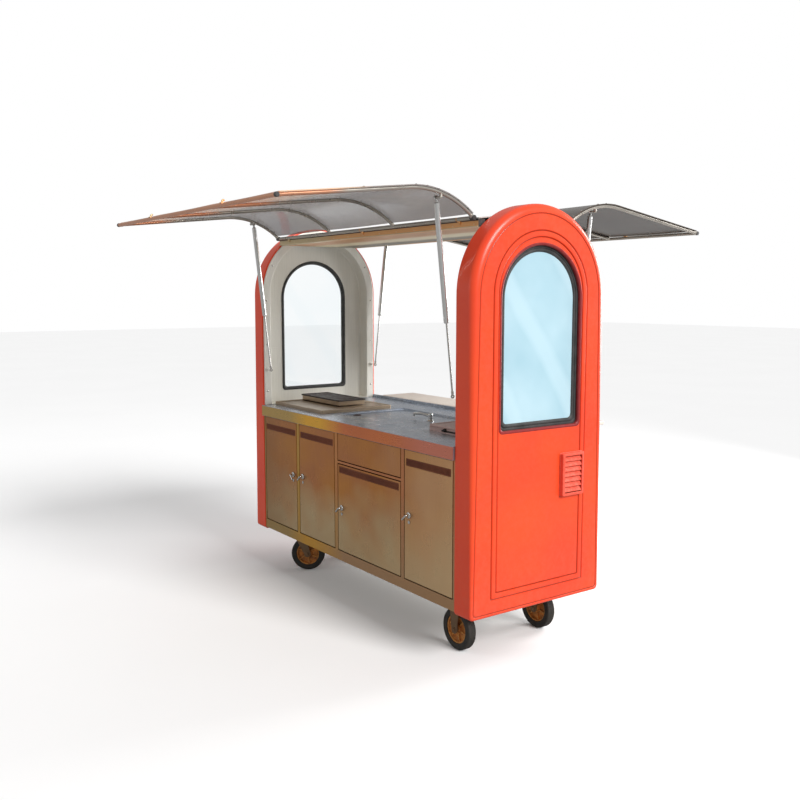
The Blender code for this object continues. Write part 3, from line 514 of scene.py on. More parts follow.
@dataclass(frozen=True)
class Rubber(Finish):
    """Black rubber, greyed by dust in its hollows.

    Attributes:
        dust: how much dust it carries.
    """

    dust: float = 0.35

    def paint(self, graph: Graph, shader: bpy.types.Node) -> None:
        """Two dark tones, dust and a fine matt grain.

        Args:
            graph: the material's nodes.
            shader: its Principled shader.
        """
        tone = graph.effect(Effect.DRIFT, First=self.base, Second=self.second, Scale=18.0,
                            Amount=0.8).outputs["Color"]
        dusty = graph.effect(Effect.DUST, Amount=self.dust, Level=0.22).outputs["Mask"]
        rubbed = graph.effect(Effect.WEAR, Amount=0.4, Scale=90.0).outputs["Mask"]
        grey = graph.mix(rubbed, tone, (0.10, 0.095, 0.085))
        graph.feed(shader.inputs["Base Color"], graph.mix(dusty, grey, (0.20, 0.16, 0.11)))
        haze = graph.span(graph.noise(graph.place(), 60.0), 0.3, 0.7, -0.08, 0.1)
        graph.feed(shader.inputs["Roughness"], graph.maths("ADD", haze, self.rough))
        grain = graph.effect(Effect.PEEL, Scale=900.0, Fine=2600.0).outputs["Height"]
        self.relief(graph, shader, grain, 0.4)


@dataclass(frozen=True)
class Glass(Finish):
    """A window pane, clear or pale blue, with lighter slanting streaks that paint reflections.

    Attributes:
        clear: how much light passes.
    """

    clear: float = 1.0

    def paint(self, graph: Graph, shader: bpy.types.Node) -> None:
        """A tint with lighter slanting streaks of painted reflection and a little haze.

        Args:
            graph: the material's nodes.
            shader: its Principled shader.
        """
        place = graph.place()
        slant = graph.scaled(place, Vector((0.0, 1.5, 1.0)))
        painted_reflection_bands = graph.step("ShaderNodeTexWave", {"Vector": slant, "Scale": 1.1, "Distortion": 1.4},
                          wave_type="BANDS", bands_direction="DIAGONAL")
        # Painted reflection: diagonal bands that turn the glass to its lighter second tone.
        streak = graph.span(painted_reflection_bands, 0.72, 0.95, 0.0, 0.6)
        drift = graph.effect(Effect.DRIFT, First=self.base, Second=self.second, Scale=2.4,
                             Amount=0.7).outputs["Color"]
        graph.feed(shader.inputs["Base Color"], graph.mix(streak, drift, self.second))
        haze = graph.span(graph.noise(place, 30.0, 5.0, 0.7), 0.4, 0.75, 0.0, 0.06)
        graph.feed(shader.inputs["Roughness"], graph.maths("ADD", haze, self.rough))
        shader.inputs["Transmission Weight"].default_value = self.clear
        shader.inputs["IOR"].default_value = 1.45


@dataclass(frozen=True)
class Smoked(Finish):
    """Thin smoked plastic sheet, with a painted reflection in a warm tone near the front edge.

    Attributes:
        solid: how much of what is behind the sheet it hides.
        painted_reflection_tone: the tone of its outer strip at the front, a painted reflection.
    """

    solid: float = 0.7
    painted_reflection_tone: Colour = (0.6, 0.3, 0.15)

    def paint(self, graph: Graph, shader: bpy.types.Node) -> None:
        """Two smoky tones, a warm outer strip of painted reflection, faint draw lines and dust.

        Args:
            graph: the material's nodes.
            shader: its Principled shader.
        """
        place = graph.place()
        tone = graph.effect(Effect.DRIFT, First=self.base, Second=self.second, Scale=2.0,
                            Amount=1.0).outputs["Color"]
        ripple = graph.span(graph.noise(place, 2.6, 2.0), 0.3, 0.7, -0.05, 0.05)
        out = graph.maths("ADD", graph.axis(place, 1), ripple)
        # Painted reflection: the front awning's outer strip turns to a warm tone.
        warm = graph.mix(graph.span(out, -0.82, -0.98), tone, self.painted_reflection_tone)
        dusty = graph.effect(Effect.DUST, Amount=0.35, Level=0.1).outputs["Mask"]
        graph.feed(shader.inputs["Base Color"], graph.mix(dusty, warm, (0.42, 0.38, 0.34)))
        lines = graph.noise(graph.scaled(place, Vector((240.0, 3.0, 3.0))), 1.0, 2.0)
        graph.feed(shader.inputs["Roughness"], graph.span(lines, 0.3, 0.7, self.rough, self.rough + 0.1))
        solid = graph.span(dusty, 0.0, 0.3, self.solid, min(1.0, self.solid + 0.15))
        graph.feed(shader.inputs["Alpha"], solid)
        self.relief(graph, shader, lines, 0.15)


@dataclass(frozen=True)
class Cast(Finish):
    """Cast or forged metal with rust in its hollows.

    Attributes:
        rust: the tone of the rust.
        metal: the metallic value of the clean parts.
    """

    rust: Colour = (0.18, 0.06, 0.02)
    metal: float = 0.7

    def paint(self, graph: Graph, shader: bpy.types.Node) -> None:
        """Blotches of rust, bright worn edges and a grainy skin.

        Args:
            graph: the material's nodes.
            shader: its Principled shader.
        """
        place = graph.place()
        tone = graph.effect(Effect.DRIFT, First=self.base, Second=self.second, Scale=22.0,
                            Amount=0.9).outputs["Color"]
        blotch = graph.span(graph.noise(place, 48.0, 6.0, 0.7), 0.46, 0.62)
        rubbed = graph.effect(Effect.WEAR, Amount=0.7, Scale=120.0).outputs["Mask"]
        dusty = graph.effect(Effect.DUST, Amount=0.5, Level=0.3).outputs["Mask"]
        rusty = graph.mix(graph.maths("MULTIPLY", blotch, 0.75), tone, self.rust)
        bright = tuple(min(1.0, value * 1.8 + 0.05) for value in self.base)
        edged = graph.mix(rubbed, rusty, bright)
        graph.feed(shader.inputs["Base Color"], graph.mix(dusty, edged, (0.22, 0.17, 0.12)))
        graph.feed(shader.inputs["Metallic"], graph.span(blotch, 0.0, 1.0, self.metal, 0.15))
        graph.feed(shader.inputs["Roughness"], graph.span(blotch, 0.0, 1.0, self.rough, 0.8))
        grain = graph.effect(Effect.PEEL, Scale=500.0, Fine=1500.0).outputs["Height"]
        self.relief(graph, shader, grain, 0.5)


class Look(Enum):
    """Every finish on the cart."""

    RED = Gelcoat("red_moulding", display(242, 78, 36), display(232, 64, 38), 0.34,
                  scuff=display(238, 110, 86))
    # Painted shade: a darker copy of the red moulding, for the lip around the window hole.
    RED_EDGE = Gelcoat("red_moulding", display(146, 34, 34), display(124, 32, 34), 0.4, coat=0.1)
    RED_VENT = Gelcoat("red_moulding", display(236, 84, 62), display(232, 96, 78), 0.42,
                       scuff=display(240, 150, 130), coat=0.2)
    LINING = Steel("pale_lining", display(232, 230, 220), display(242, 240, 232), 0.36,
                   grain=(220.0, 220.0, 5.0), metal=0.05, smear=0.8, dust=0.1)
    SEAL = Rubber("window_rubber", display(40, 42, 42), display(66, 64, 64), 0.5)
    # Painted reflection: a pale blue, mostly opaque copy of the window glass, for the right window.
    FILMED = Glass("window_glass", display(170, 208, 222), display(204, 232, 242), 0.08, clear=0.15)
    CLEAR = Glass("window_glass", display(250, 253, 254), display(244, 250, 252), 0.0, clear=1.0)
    FRAME = Steel("frame_steel", display(208, 174, 134), display(180, 146, 108), 0.42,
                  grain=(5.0, 5.0, 240.0), dust=0.5)
    CASE = Steel("case_steel", display(196, 188, 170), display(170, 158, 136), 0.4)
    # Painted light along X: a yellow painted highlight from x -0.02 to -0.30, and an olive painted
    # reflection towards the left end.
    FASCIA = Steel("cabinet_steel", display(204, 136, 90), display(186, 118, 78), 0.34,
                   shifts=((display(214, 160, 60), 0, -0.02, -0.30),
                           (display(176, 146, 90), 0, -0.42, -0.62)),
                   low_tone=display(180, 142, 104))
    # Painted light along X: a yellow painted highlight from x 0 to -0.22, an olive painted reflection
    # towards the left end, and a pink painted reflection of the red end panel towards the right end.
    BAND = Steel("cabinet_steel", display(222, 130, 78), display(206, 116, 74), 0.28,
                 shifts=((display(236, 178, 62), 0, 0.0, -0.22), (display(190, 158, 92), 0, -0.38, -0.56),
                         (display(212, 130, 108), 0, 0.42, 0.70)))
    DOOR = Steel("cabinet_steel", display(186, 120, 72), display(200, 134, 58), 0.3,
                 grain=(260.0, 260.0, 5.0), smear=0.8, low_tone=display(196, 170, 128),
                 shifts=((display(150, 106, 58), 0, -0.45, -1.3), (display(228, 190, 144), 0, 0.3, 1.3)))
    GRILLE = Steel("cabinet_steel", display(140, 80, 52), display(118, 66, 50), 0.5, metal=0.6)
    GRILLE_BACK = Steel("cabinet_steel", display(84, 46, 32), display(66, 38, 28), 0.7, metal=0.3)
    TOP = Steel("worktop_steel", display(186, 190, 198), display(150, 162, 178), 0.26,
                grain=(5.0, 280.0, 280.0), metal=0.55, smear=0.9, dust=0.1)
    CHROME = Steel("bright_chrome", display(206, 204, 200), display(180, 178, 176), 0.16,
                   grain=(40.0, 40.0, 40.0), metal=1.0, smear=0.4, dust=0.05)
    APPLIANCE = Steel("appliance_steel", display(182, 164, 142), display(160, 140, 118), 0.34,
                      smear=0.9, dust=0.2)
    # Painted reflection: a pinker copy of the appliance steel, for the red end panel reflected in the burner
    # box.
    BURNER = Steel("appliance_steel", display(196, 168, 160), display(170, 128, 122), 0.4,
                   smear=0.9, dust=0.2)
    IRON = Cast("griddle_iron", display(42, 36, 34), display(34, 30, 30), 0.5,
                rust=display(66, 46, 36), metal=0.5)
    SHELF = Steel("shelf_sheet", display(250, 238, 226), display(238, 224, 210), 0.36,
                  metal=0.2, smear=0.5, dust=0.15)
    BEAM = Steel("beam_steel", display(244, 186, 126), display(232, 174, 118), 0.34,
                 shifts=((display(206, 186, 146), 0, -0.20, -0.55),), metal=0.6, dust=0.1)
    BEAM_TRIM = Steel("beam_steel", display(238, 218, 180), display(222, 202, 166), 0.3,
                      dust=0.1)
    # Painted light across Y: a cream painted highlight from about y -0.03 to 0.06, then a darker painted
    # shadow line towards the back beam.
    CEILING = Steel("roof_sheet", display(232, 168, 108), display(216, 158, 104), 0.36,
                    shifts=((display(255, 240, 204), 1, -0.10, -0.03),
                            (display(140, 128, 110), 1, 0.06, 0.13)), dust=0.1, metal=0.3)
    ROOF = Steel("roof_sheet", display(200, 200, 194), display(184, 184, 178), 0.4, metal=0.3,
                 dust=0.5)
    # Painted reflection: the tubes turn to a warm tone from y -0.92 to -1.02, along the front awning's outer
    # rail.
    TUBE = Steel("awning_tube", display(190, 184, 174), display(166, 158, 148), 0.28,
                 grain=(5.0, 5.0, 5.0), dust=0.12,
                 shifts=((display(214, 156, 124), 1, -0.92, -1.02),))
    SHEET = Smoked("awning_sheet", display(150, 132, 120), display(116, 104, 106), 0.14,
                   painted_reflection_tone=display(255, 206, 156), solid=0.6)
    # Painted shade: a darker, more opaque copy of the awning sheet, for the back awning.
    DARK_SHEET = Smoked("awning_sheet", display(92, 84, 76), display(74, 64, 58), 0.16,
                        painted_reflection_tone=display(120, 100, 90), solid=0.94)
    STRUT = Steel("strut_silver", display(222, 222, 220), display(202, 202, 200), 0.2,
                  grain=(300.0, 300.0, 6.0), metal=0.9, smear=0.3, dust=0.05)
    CASTER = Steel("caster_steel", display(150, 122, 92), display(116, 90, 66), 0.42,
                   grain=(40.0, 40.0, 40.0), dust=0.5)
    TYRE = Rubber("tyre_black", display(32, 31, 28), display(46, 43, 38), 0.6, bump=0.0004, dust=0.2)
    HUB = Cast("hub_metal", display(228, 148, 64), display(186, 116, 54), 0.45,
               rust=display(150, 86, 42), metal=0.5)

    def material(self) -> bpy.types.Material:
        """The look's material, made at its first use."""
        name = self.name.lower()
        return bpy.data.materials.get(name) or self.value.material(name)


# ---- shapes
def arc(centre: Flat, radius: float, start: float, end: float, steps: int) -> list[Flat]:
    """Points along an arc, both ends included, angles in radians."""
    turns = [start + (end - start) * number / steps for number in range(steps + 1)]
    return [(centre[0] + radius * math.cos(turn), centre[1] + radius * math.sin(turn))
            for turn in turns]


def arch_loop(half: float, bottom: float, top: float, corner: float) -> list[Flat]:
    """Outline of a round-topped panel.

    Args:
        half: half of its width, and the radius of its top.
        bottom: height of its lower edge.
        top: height of its crown.
        corner: radius of its two lower corners.

    Returns:
        Points as (y, z), with the same number of points for any size.
    """
    points = arc((half - corner, bottom + corner), corner, -QUARTER, 0.0, 5)
    points += arc((0.0, top - half), half, 0.0, math.pi, 72)
    points += arc((-half + corner, bottom + corner), corner, math.pi, 3 * QUARTER, 5)
    return points


def circle(centre: Vector, side: Vector, across: Vector, radius: float, steps: int) -> list[Vector]:
    """Points around a circle.

    Args:
        centre: its middle.
        side: unit vector towards its first point.
        across: unit vector a quarter turn on.
        radius: its radius.
        steps: number of points.

    Returns:
        The points in order.
    """
    turns = [2 * math.pi * step / steps for step in range(steps)]
    return [centre + (side * math.cos(turn) + across * math.sin(turn)) * radius for turn in turns]


def rectangle_loop(low: Flat, high: Flat, corner: float) -> list[Flat]:
    """Outline of a rectangle with rounded corners.

    Args:
        low: its lowest corner.
        high: its highest corner.
        corner: radius of its corners.

    Returns:
        The points in order.
    """
    points: list[Flat] = []
    centres = ((high[0] - corner, low[1] + corner), (high[0] - corner, high[1] - corner),
               (low[0] + corner, high[1] - corner), (low[0] + corner, low[1] + corner))
    for number, centre in enumerate(centres):
        points += arc(centre, corner, (number - 1) * QUARTER, number * QUARTER, 4)
    return points


class Shaper:
    """Collects closed shapes and turns them into one piece."""

    def __init__(self) -> None:
        """Start with nothing."""
        self.mesh = bmesh.new()

    def absorb(self, shape: bmesh.types.BMesh, bevel: float = 0.0) -> None:
        """Take in a closed shape.

        Args:
            shape: the shape, which is used up.
            bevel: width of the rounding on its edges.
        """
        if bevel:
            sharp = [edge for edge in shape.edges if edge.calc_face_angle(0.0) > 0.5]
            bmesh.ops.bevel(shape, geom=sharp, offset=bevel, segments=2, profile=0.5,
                            affect="EDGES", clamp_overlap=True)
        bmesh.ops.recalc_face_normals(shape, faces=shape.faces)
        data = bpy.data.meshes.new("shape")
        shape.to_mesh(data)
        shape.free()
        self.mesh.from_mesh(data)
        bpy.data.meshes.remove(data)

    def block(self, low: Triple, high: Triple, bevel: float = 0.001) -> None:
        """A box with rounded edges between two opposite corners.

        Args:
            low: one corner.
            high: the opposite corner.
            bevel: rounding of its edges.
        """
        shape = bmesh.new()
        bmesh.ops.create_cube(shape, size=1.0)
        middle = (Vector(low) + Vector(high)) / 2
        size = [abs(end - start) for start, end in zip(low, high)]
        bmesh.ops.transform(shape, verts=shape.verts,
                            matrix=Matrix.Translation(middle) @ Matrix.Diagonal((*size, 1.0)))
        self.absorb(shape, min(bevel, 0.45 * min(size)))

    def skin(self, loops: Sequence[Loop], ring: bool = False, caps: bool = False,
             folded: bool = False, fill: Iterable[tuple[int, int]] = (), bevel: float = 0.0) -> None:
        """A closed skin over loops that have the same number of points.

        Args:
            loops: the loops, in order.
            ring: join the last loop to the first.
            caps: close both ends with flat faces.
            folded: close both ends with strips between the two halves of the loop.
            fill: pairs of loop numbers between which the flat space is filled.
            bevel: rounding of the sharp edges.
        """
        shape = bmesh.new()
        rows = [[shape.verts.new(point) for point in loop] for loop in loops]
        count = len(rows[0])
        flat = {frozenset(pair) for pair in fill}
        numbers = list(range(len(rows)))
        pairs = list(zip(numbers, numbers[1:])) + ([(numbers[-1], 0)] if ring else [])
        for first, second in pairs:
            if frozenset((first, second)) in flat:
                continue
            for i in range(count):
                j = (i + 1) % count
                shape.faces.new((rows[first][i], rows[first][j], rows[second][j], rows[second][i]))
        for first, second in (tuple(pair) for pair in flat):
            edges = [shape.edges.get((row[i], row[(i + 1) % count]))
                     for row in (rows[first], rows[second]) for i in range(count)]
            bmesh.ops.triangle_fill(shape, use_beauty=True, use_dissolve=False, edges=edges)
        if caps:
            shape.faces.new(rows[0])
            shape.faces.new(rows[-1])
        for row in (rows[0], rows[-1]) if folded else ():
            for i in range(count // 2 - 1):
                shape.faces.new((row[i], row[i + 1], row[count - 2 - i], row[count - 1 - i]))
        self.absorb(shape, bevel)

    def prism(self, outline: Loop, shift: Triple, bevel: float = 0.0) -> None:
        """A flat outline pushed along a vector, with rounded edges."""
        far = [Vector(point) + Vector(shift) for point in outline]
        self.skin([outline, far], caps=True, bevel=bevel)

    def tube(self, points: Loop, radius: float | Sequence[float], sides: int = 16) -> None:
        """A round tube through points, closed at both ends.

        Args:
            points: its centre line.
            radius: its radius, or one for each point.
            sides: points around it.
        """
        line = [Vector(point) for point in points]
        radii = [radius] * len(line) if isinstance(radius, (int, float)) else list(radius)
        ahead = (line[1] - line[0]).normalized()
        side = ahead.orthogonal().normalized()
        loops = []
        for number, point in enumerate(line):
            before = line[max(number - 1, 0)]
            after = line[min(number + 1, len(line) - 1)]
            ahead = (after - before).normalized()
            side = (side - ahead * side.dot(ahead)).normalized()
            loops.append(circle(point, side, ahead.cross(side), radii[number], sides))
        self.skin(loops, caps=True)

    def turned(self, profile: Sequence[Flat], origin: Triple, axis: Triple,
               ring: bool = False, steps: int = 48) -> None:
        """A turned shape.

        Args:
            profile: points as (radius, distance along the axis).
            origin: where the distance is 0.
            axis: the direction of the axis.
            ring: the profile is closed, as of a ring.
            steps: points around.
        """
        ahead = Vector(axis).normalized()
        side = ahead.orthogonal().normalized()
        across = ahead.cross(side)
        loops = [circle(Vector(origin) + ahead * along, side, across, radius, steps)
                 for radius, along in profile]
        self.skin(loops, ring=ring, caps=not ring)

    def stepped(self, low: Vector, high: Vector, profile: Sequence[Flat], corner: float) -> None:
        """A box whose sides and top follow a profile.

        Args:
            low: lowest corner of the box.
            high: highest corner of the box.
            profile: points as (distance in from the sides, height above the foot).
            corner: radius of its upright corners.
        """
        loops = []
        for inset, lift in profile:
            outline = rectangle_loop((low.x + inset, low.y + inset), (high.x - inset, high.y - inset),
                                     corner)
            loops.append([(x, y, low.z + lift) for x, y in outline])
        self.skin(loops, caps=True)

    def bolt(self, place: Triple, axis: Triple, radius: float = 0.005) -> None:
        """A hexagon head on a round washer.

        Args:
            place: middle of the washer's seat.
            axis: direction away from the seat.
            radius: radius of the head.
        """
        washer = [(radius * 1.45, 0.0), (radius * 1.45, radius * 0.2), (radius * 1.3, radius * 0.28)]
        self.turned(washer, place, axis, steps=18)
        head = [(radius, radius * 0.2), (radius, radius * 0.8), (radius * 0.86, radius * 0.95)]
        self.turned(head, place, axis, steps=6)

    def dome(self, place: Triple, axis: Triple, radius: float = 0.004) -> None:
        """A flat round rivet or screw head."""
        profile = [(radius, 0.0), (radius, radius * 0.2), (radius * 0.8, radius * 0.45),
                   (radius * 0.4, radius * 0.58)]
        self.turned(profile, place, axis, steps=14)

    def piece(self, name: str, body: str, look: Look, replaces: Sequence[str] = (),
              angle: float = 34.0) -> Thing:
        """Finish the piece and hang it on its body.

        Args:
            name: the piece's name.
            body: the frame's body that it rides on.
            look: its finish.
            replaces: the frame's nodes that it stands for.
            angle: edges sharper than this many degrees stay crisp.

        Returns:
            The object.
        """
        data = bpy.data.meshes.new(name)
        self.mesh.to_mesh(data)
        self.mesh.free()
        data.shade_smooth()
        data.set_sharp_from_angle(angle=math.radians(angle))
        thing = bpy.data.objects.new(name, data)
        bpy.context.scene.collection.objects.link(thing)
        data.materials.append(look.material())
        even = thing.modifiers.new("even_normals", "WEIGHTED_NORMAL")
        even.keep_sharp = True
        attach(thing, body)
        if replaces:
            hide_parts(*replaces)
        return thing


def dress_node(name: str, look: Look, bevel: float = 0.0) -> Thing:
    """Give a node of the frame its finish and soften its edges.

    Args:
        name: the node.
        look: its finish.
        bevel: width of the rounding, or 0 for none.

    Returns:
        The node's object.
    """
    thing = frame["nodes"][name]
    if not thing.material_slots:
        thing.data.materials.append(None)
    for slot in thing.material_slots:
        slot.material = look.material()
    if bevel:
        weld = thing.modifiers.new("weld", "WELD")
        weld.merge_threshold = 0.00002
        merge = thing.modifiers.new("whole_faces", "DECIMATE")
        merge.decimate_type = "DISSOLVE"
        merge.angle_limit = math.radians(1.5)
        edge = thing.modifiers.new("soft_edges", "BEVEL")
        edge.width = bevel
        edge.segments = 2
        edge.angle_limit = math.radians(35)
        edge.harden_normals = True
    return thing


class Assembly:
    """A part of the cart that is built and dressed together."""

    def build(self) -> list[Thing]:
        """Make the fine pieces."""
        return []

    def dress(self) -> list[Thing]:
        """Finish the frame's nodes that stay."""
        return []


# ---- end panels
@dataclass
class EndPanel(Assembly):
    """One arched end: red moulding, pale lining, window and vent.

    Attributes:
        name: "right" or "left".
        side: +1 for the right end and -1 for the left.
        rim_width: width of the rim around the hollow.
        wall: thickness of the wall that holds the window.
        edge_round: radius of the outer edge at the arch.
        foot_round: radius of the outer edge at the foot.
        groove: depth of the moulded grooves.
        lining: thickness of the lining sheet.
        window_half: half the width of the window hole.
        window_bottom: height of its sill.
        window_drop: distance from the crown of the panel to that of the hole.
        seal_sink: how far the rubber lies behind the outer face.
        cover: how far the lining covers the rubber on the inside.
        slats: blades in the vent.
    """

    name: str
    side: int
    rim_width: float = 0.055
    wall: float = 0.035
    edge_round: float = 0.036
    foot_round: float = 0.010
    groove: float = 0.0050
    lining: float = 0.003
    window_half: float = 0.240
    window_bottom: float = 1.057
    window_drop: float = 0.178
    seal_sink: float = 0.014
    cover: float = 0.012
    slats: int = 7

    def at(self, outline: Sequence[Flat], depth: float) -> list[Point]:
        """Put an outline at a depth behind the outer face."""
        x = self.side * (HALF_LENGTH - depth)
        return [(x, y, z) for y, z in outline]

    def panel_loop(self, inset: float, depth: float, foot: float | None = None) -> list[Point]:
        """A loop of the moulding.

        Args:
            inset: distance in from the sides and the crown.
            depth: distance behind the outer face.
            foot: distance up from the lower edge, the inset if left out.

        Returns:
            The loop's points.
        """
        corner = max(0.020 - inset, 0.006)
        bottom = PANEL_BOTTOM + (inset if foot is None else foot)
        return self.at(arch_loop(HALF_DEPTH - inset, bottom, CART_HEIGHT - inset, corner), depth)

    def window_loop(self, depth: float, inset: float = 0.0) -> list[Point]:
        """A loop around the window, an inset inside its hole.

        Args:
            depth: distance behind the outer face.
            inset: distance inside the hole's edge.

        Returns:
            The loop's points.
        """
        top = CART_HEIGHT - self.window_drop - inset
        outline = arch_loop(self.window_half - inset, self.window_bottom + inset, top, 0.020)
        return self.at(outline, depth)

    def moulding_loops(self) -> list[list[Point]]:
        """The double groove that frames the panel, from inside to outside.

        Returns:
            The loops, from inside to outside.
        """
        deep = self.groove
        profile = ((0.1505, 0.0), (0.1480, deep * 0.8), (0.1465, deep), (0.1450, deep),
                   (0.1430, deep * 0.4), (0.1415, -0.0004), (0.1385, -0.0012), (0.1250, -0.0012),
                   (0.1222, -0.0004), (0.1205, deep * 0.4), (0.1188, deep), (0.1170, deep),
                   (0.1152, deep * 0.8), (0.1128, 0.0))
        return [self.panel_loop(inset, depth, inset - 0.040) for inset, depth in profile]

    def edge_row(self, share: float, inset: float, sink: float, depth: float) -> list[Point]:
        """A loop of the edge, whose radius grows from the foot to the arch.

        Args:
            share: distance in, as a share of the radius.
            inset: distance in, added to it.
            sink: depth, as a share of the radius.
            depth: depth, added to it.

        Returns:
            The loop's points.
        """
        outer, inner = self.panel_loop(0.0, 0.0), self.panel_loop(0.060, 0.0)
        low, high = PANEL_BOTTOM + 0.15, CART_HEIGHT - HALF_DEPTH + 0.1
        points = []
        for start, end in zip(outer, inner):
            rise = min(max((start[2] - low) / (high - low), 0.0), 1.0)
            radius = self.foot_round + (self.edge_round - self.foot_round) * rise
            part = (radius * share + inset) / 0.060
            x = self.side * (HALF_LENGTH - radius * sink - depth)
            points.append((x, start[1] + (end[1] - start[1]) * part,
                           start[2] + (end[2] - start[2]) * part))
        return points

    def rim_loops(self) -> list[list[Point]]:
        """The shadow line, the rounded edge and the rim back to the hollow.

        Returns:
            The loops, from the face to the hollow.
        """
        line = ((0.0110, 0.0), (0.0092, 0.0022), (0.0070, 0.0030), (0.0050, 0.0022), (0.0034, 0.0))
        loops = [self.edge_row(1.0, inset, 0.0, depth) for inset, depth in line]
        for number in range(11):
            turn = QUARTER * number / 10
            loops.append(self.edge_row(1 - math.sin(turn), 0.0, 1 - math.cos(turn), 0.0))
        back = HALF_LENGTH - INNER_FACE
        rest = ((0.0, back - 0.004), (0.0012, back - 0.0012), (0.004, back),
                (self.rim_width - 0.004, back), (self.rim_width - 0.0012, back - 0.0012),
                (self.rim_width, back - 0.004), (self.rim_width, self.wall))
        return loops + [self.panel_loop(inset, depth) for inset, depth in rest]

    def shell(self) -> Thing:
        """The red moulding.

        Returns:
            The piece.
        """
        hole = [self.window_loop(self.wall), self.window_loop(0.003), self.window_loop(0.0009, -0.0009),
                self.window_loop(0.0, -0.003)]
        loops = hole + self.moulding_loops() + self.rim_loops()
        last = len(loops) - 1
        shaper = Shaper()
        shaper.skin(loops, ring=True, fill=[(3, 4), (last, 0)])
        return shaper.piece(f"{self.name}_end_moulding", "cart", Look.RED,
                            [f"{self.name}_end_shell"])

    def lining_loop(self, inset: float, x: float, lift: float = 0.0) -> list[Point]:
        """A loop of the lining at a distance x from the middle of the cart."""
        outline = arch_loop(HALF_DEPTH - inset, COUNTER + TOUCH + lift, CART_HEIGHT - inset, 0.004)
        return self.at(outline, HALF_LENGTH - x)

    def pan(self) -> Thing:
        """The pale sheet: a flange on the rim and a pan in the hollow.

        Returns:
            The piece.
        """
        back = HALF_LENGTH - self.wall - TOUCH
        floor = back - self.lining
        outer = self.rim_width + TOUCH
        inner = outer + self.lining
        corner = 0.012
        fillet = [(inner + corner * (1 - math.sin(turn)), floor - corner * (1 - math.cos(turn)))
                  for turn in (QUARTER * number / 5 for number in range(6))]
        rest = [(inner, FLANGE_FACE + 0.006), (inner - 0.0015, FLANGE_FACE + 0.0018),
                (inner - 0.006, FLANGE_FACE), (0.018, FLANGE_FACE), (0.0165, FLANGE_FACE - 0.0012),
                (0.0125, FLANGE_FACE - 0.0012), (0.0105, FLANGE_FACE), (0.009, FLANGE_FACE + 0.001),
                (0.009, INNER_FACE - TOUCH), (outer, INNER_FACE - TOUCH), (outer, back)]
        hole = [self.window_loop(HALF_LENGTH - back, self.cover),
                self.window_loop(HALF_LENGTH - floor, self.cover)]
        body = [self.lining_loop(inset, x, self.lining if inset >= inner else TOUCH)
                for inset, x in fillet + rest]
        loops = hole + body
        shaper = Shaper()
        shaper.skin(loops, ring=True, fill=[(1, 2), (len(loops) - 1, 0)])
        for y in (-1, 1):
            low = (self.side * (floor - 0.0014), y * (self.window_half + 0.004), 1.330)
            high = (self.side * (floor + 0.0005), y * (HALF_DEPTH - inner - 0.002), 1.334)
            shaper.block(low, high, 0.0004)
            foot = (self.side * FLANGE_FACE, y * STUD_DEPTH, STUD_HEIGHT)
            shaper.turned([(0.013, 0.001), (0.013, -0.002), (0.0115, -0.0032), (0.006, -0.0036),
                           (0.006, -0.014), (0.0045, -0.0165)], foot, (self.side, 0, 0), steps=24)
        return shaper.piece(f"{self.name}_lining_pan", "cart", Look.LINING,
                            [f"{self.name}_end_lining"])

    def flange_screws(self) -> Thing:
        """Screws that hold the lining's flange to the rim.

        Returns:
            The piece.
        """
        shaper = Shaper()
        middle = HALF_DEPTH - 0.030
        x = self.side * (FLANGE_FACE - 0.0002)
        for z in (1.08, 1.36, 1.62):
            for y in (-middle, middle):
                shaper.dome((x, y, z), (-self.side, 0, 0), 0.0042)
        for turn in (28, 58, 90, 122, 152):
            y = middle * math.cos(math.radians(turn))
            z = CART_HEIGHT - HALF_DEPTH + middle * math.sin(math.radians(turn))
            shaper.dome((x, y, z), (-self.side, 0, 0), 0.0042)
        return shaper.piece(f"{self.name}_flange_screws", "cart", Look.CHROME)

    def seal(self) -> Thing:
        """The rubber profile that grips the glass.

        Returns:
            The piece.
        """
        front = self.seal_sink
        back = self.wall + self.lining + 0.004
        profile = ((0.0, front + 0.004), (0.0012, front + 0.0012), (0.005, front), (0.0125, front),
                   (0.0140, front + 0.0016), (0.0150, front + 0.0036), (0.0170, front + 0.0036),
                   (0.0182, front + 0.0012), (0.0205, front), (0.0270, front + 0.0010),
                   (0.0305, front + 0.0034), (0.0325, front + 0.0066), (0.0325, self.wall - 0.006),
                   (0.0300, back - 0.004), (0.0270, back - 0.001), (0.0240, back), (0.0160, back),
                   (self.cover + 0.0006, back - 0.002), (self.cover + 0.0006, self.wall - 0.0002),
                   (0.0, self.wall - 0.0002))
        shaper = Shaper()
        shaper.skin([self.window_loop(depth, inset + TOUCH) for inset, depth in profile], ring=True)
        return shaper.piece(f"{self.name}_window_rubber", "cart", Look.SEAL,
                            [f"{self.name}_window_seal"], angle=50)

    def bead(self) -> Thing:
        """The lip around the window hole, in a darker red whose colour paints the shade of the hole's
        reveal.

        Returns:
            The piece.
        """
        profile = ((-0.0085, 0.0004), (-0.0080, -0.0012), (-0.0060, -0.0022), (-0.0030, -0.0022),
                   (0.0010, -0.0010), (0.0036, 0.0014), (0.0046, 0.0050), (0.0046, 0.0125),
                   (0.0006, 0.0130), (-0.0004, 0.0040))
        shaper = Shaper()
        shaper.skin([self.window_loop(depth, inset) for inset, depth in profile], ring=True)
        return shaper.piece(f"{self.name}_window_lip", "cart", Look.RED_EDGE, angle=50)

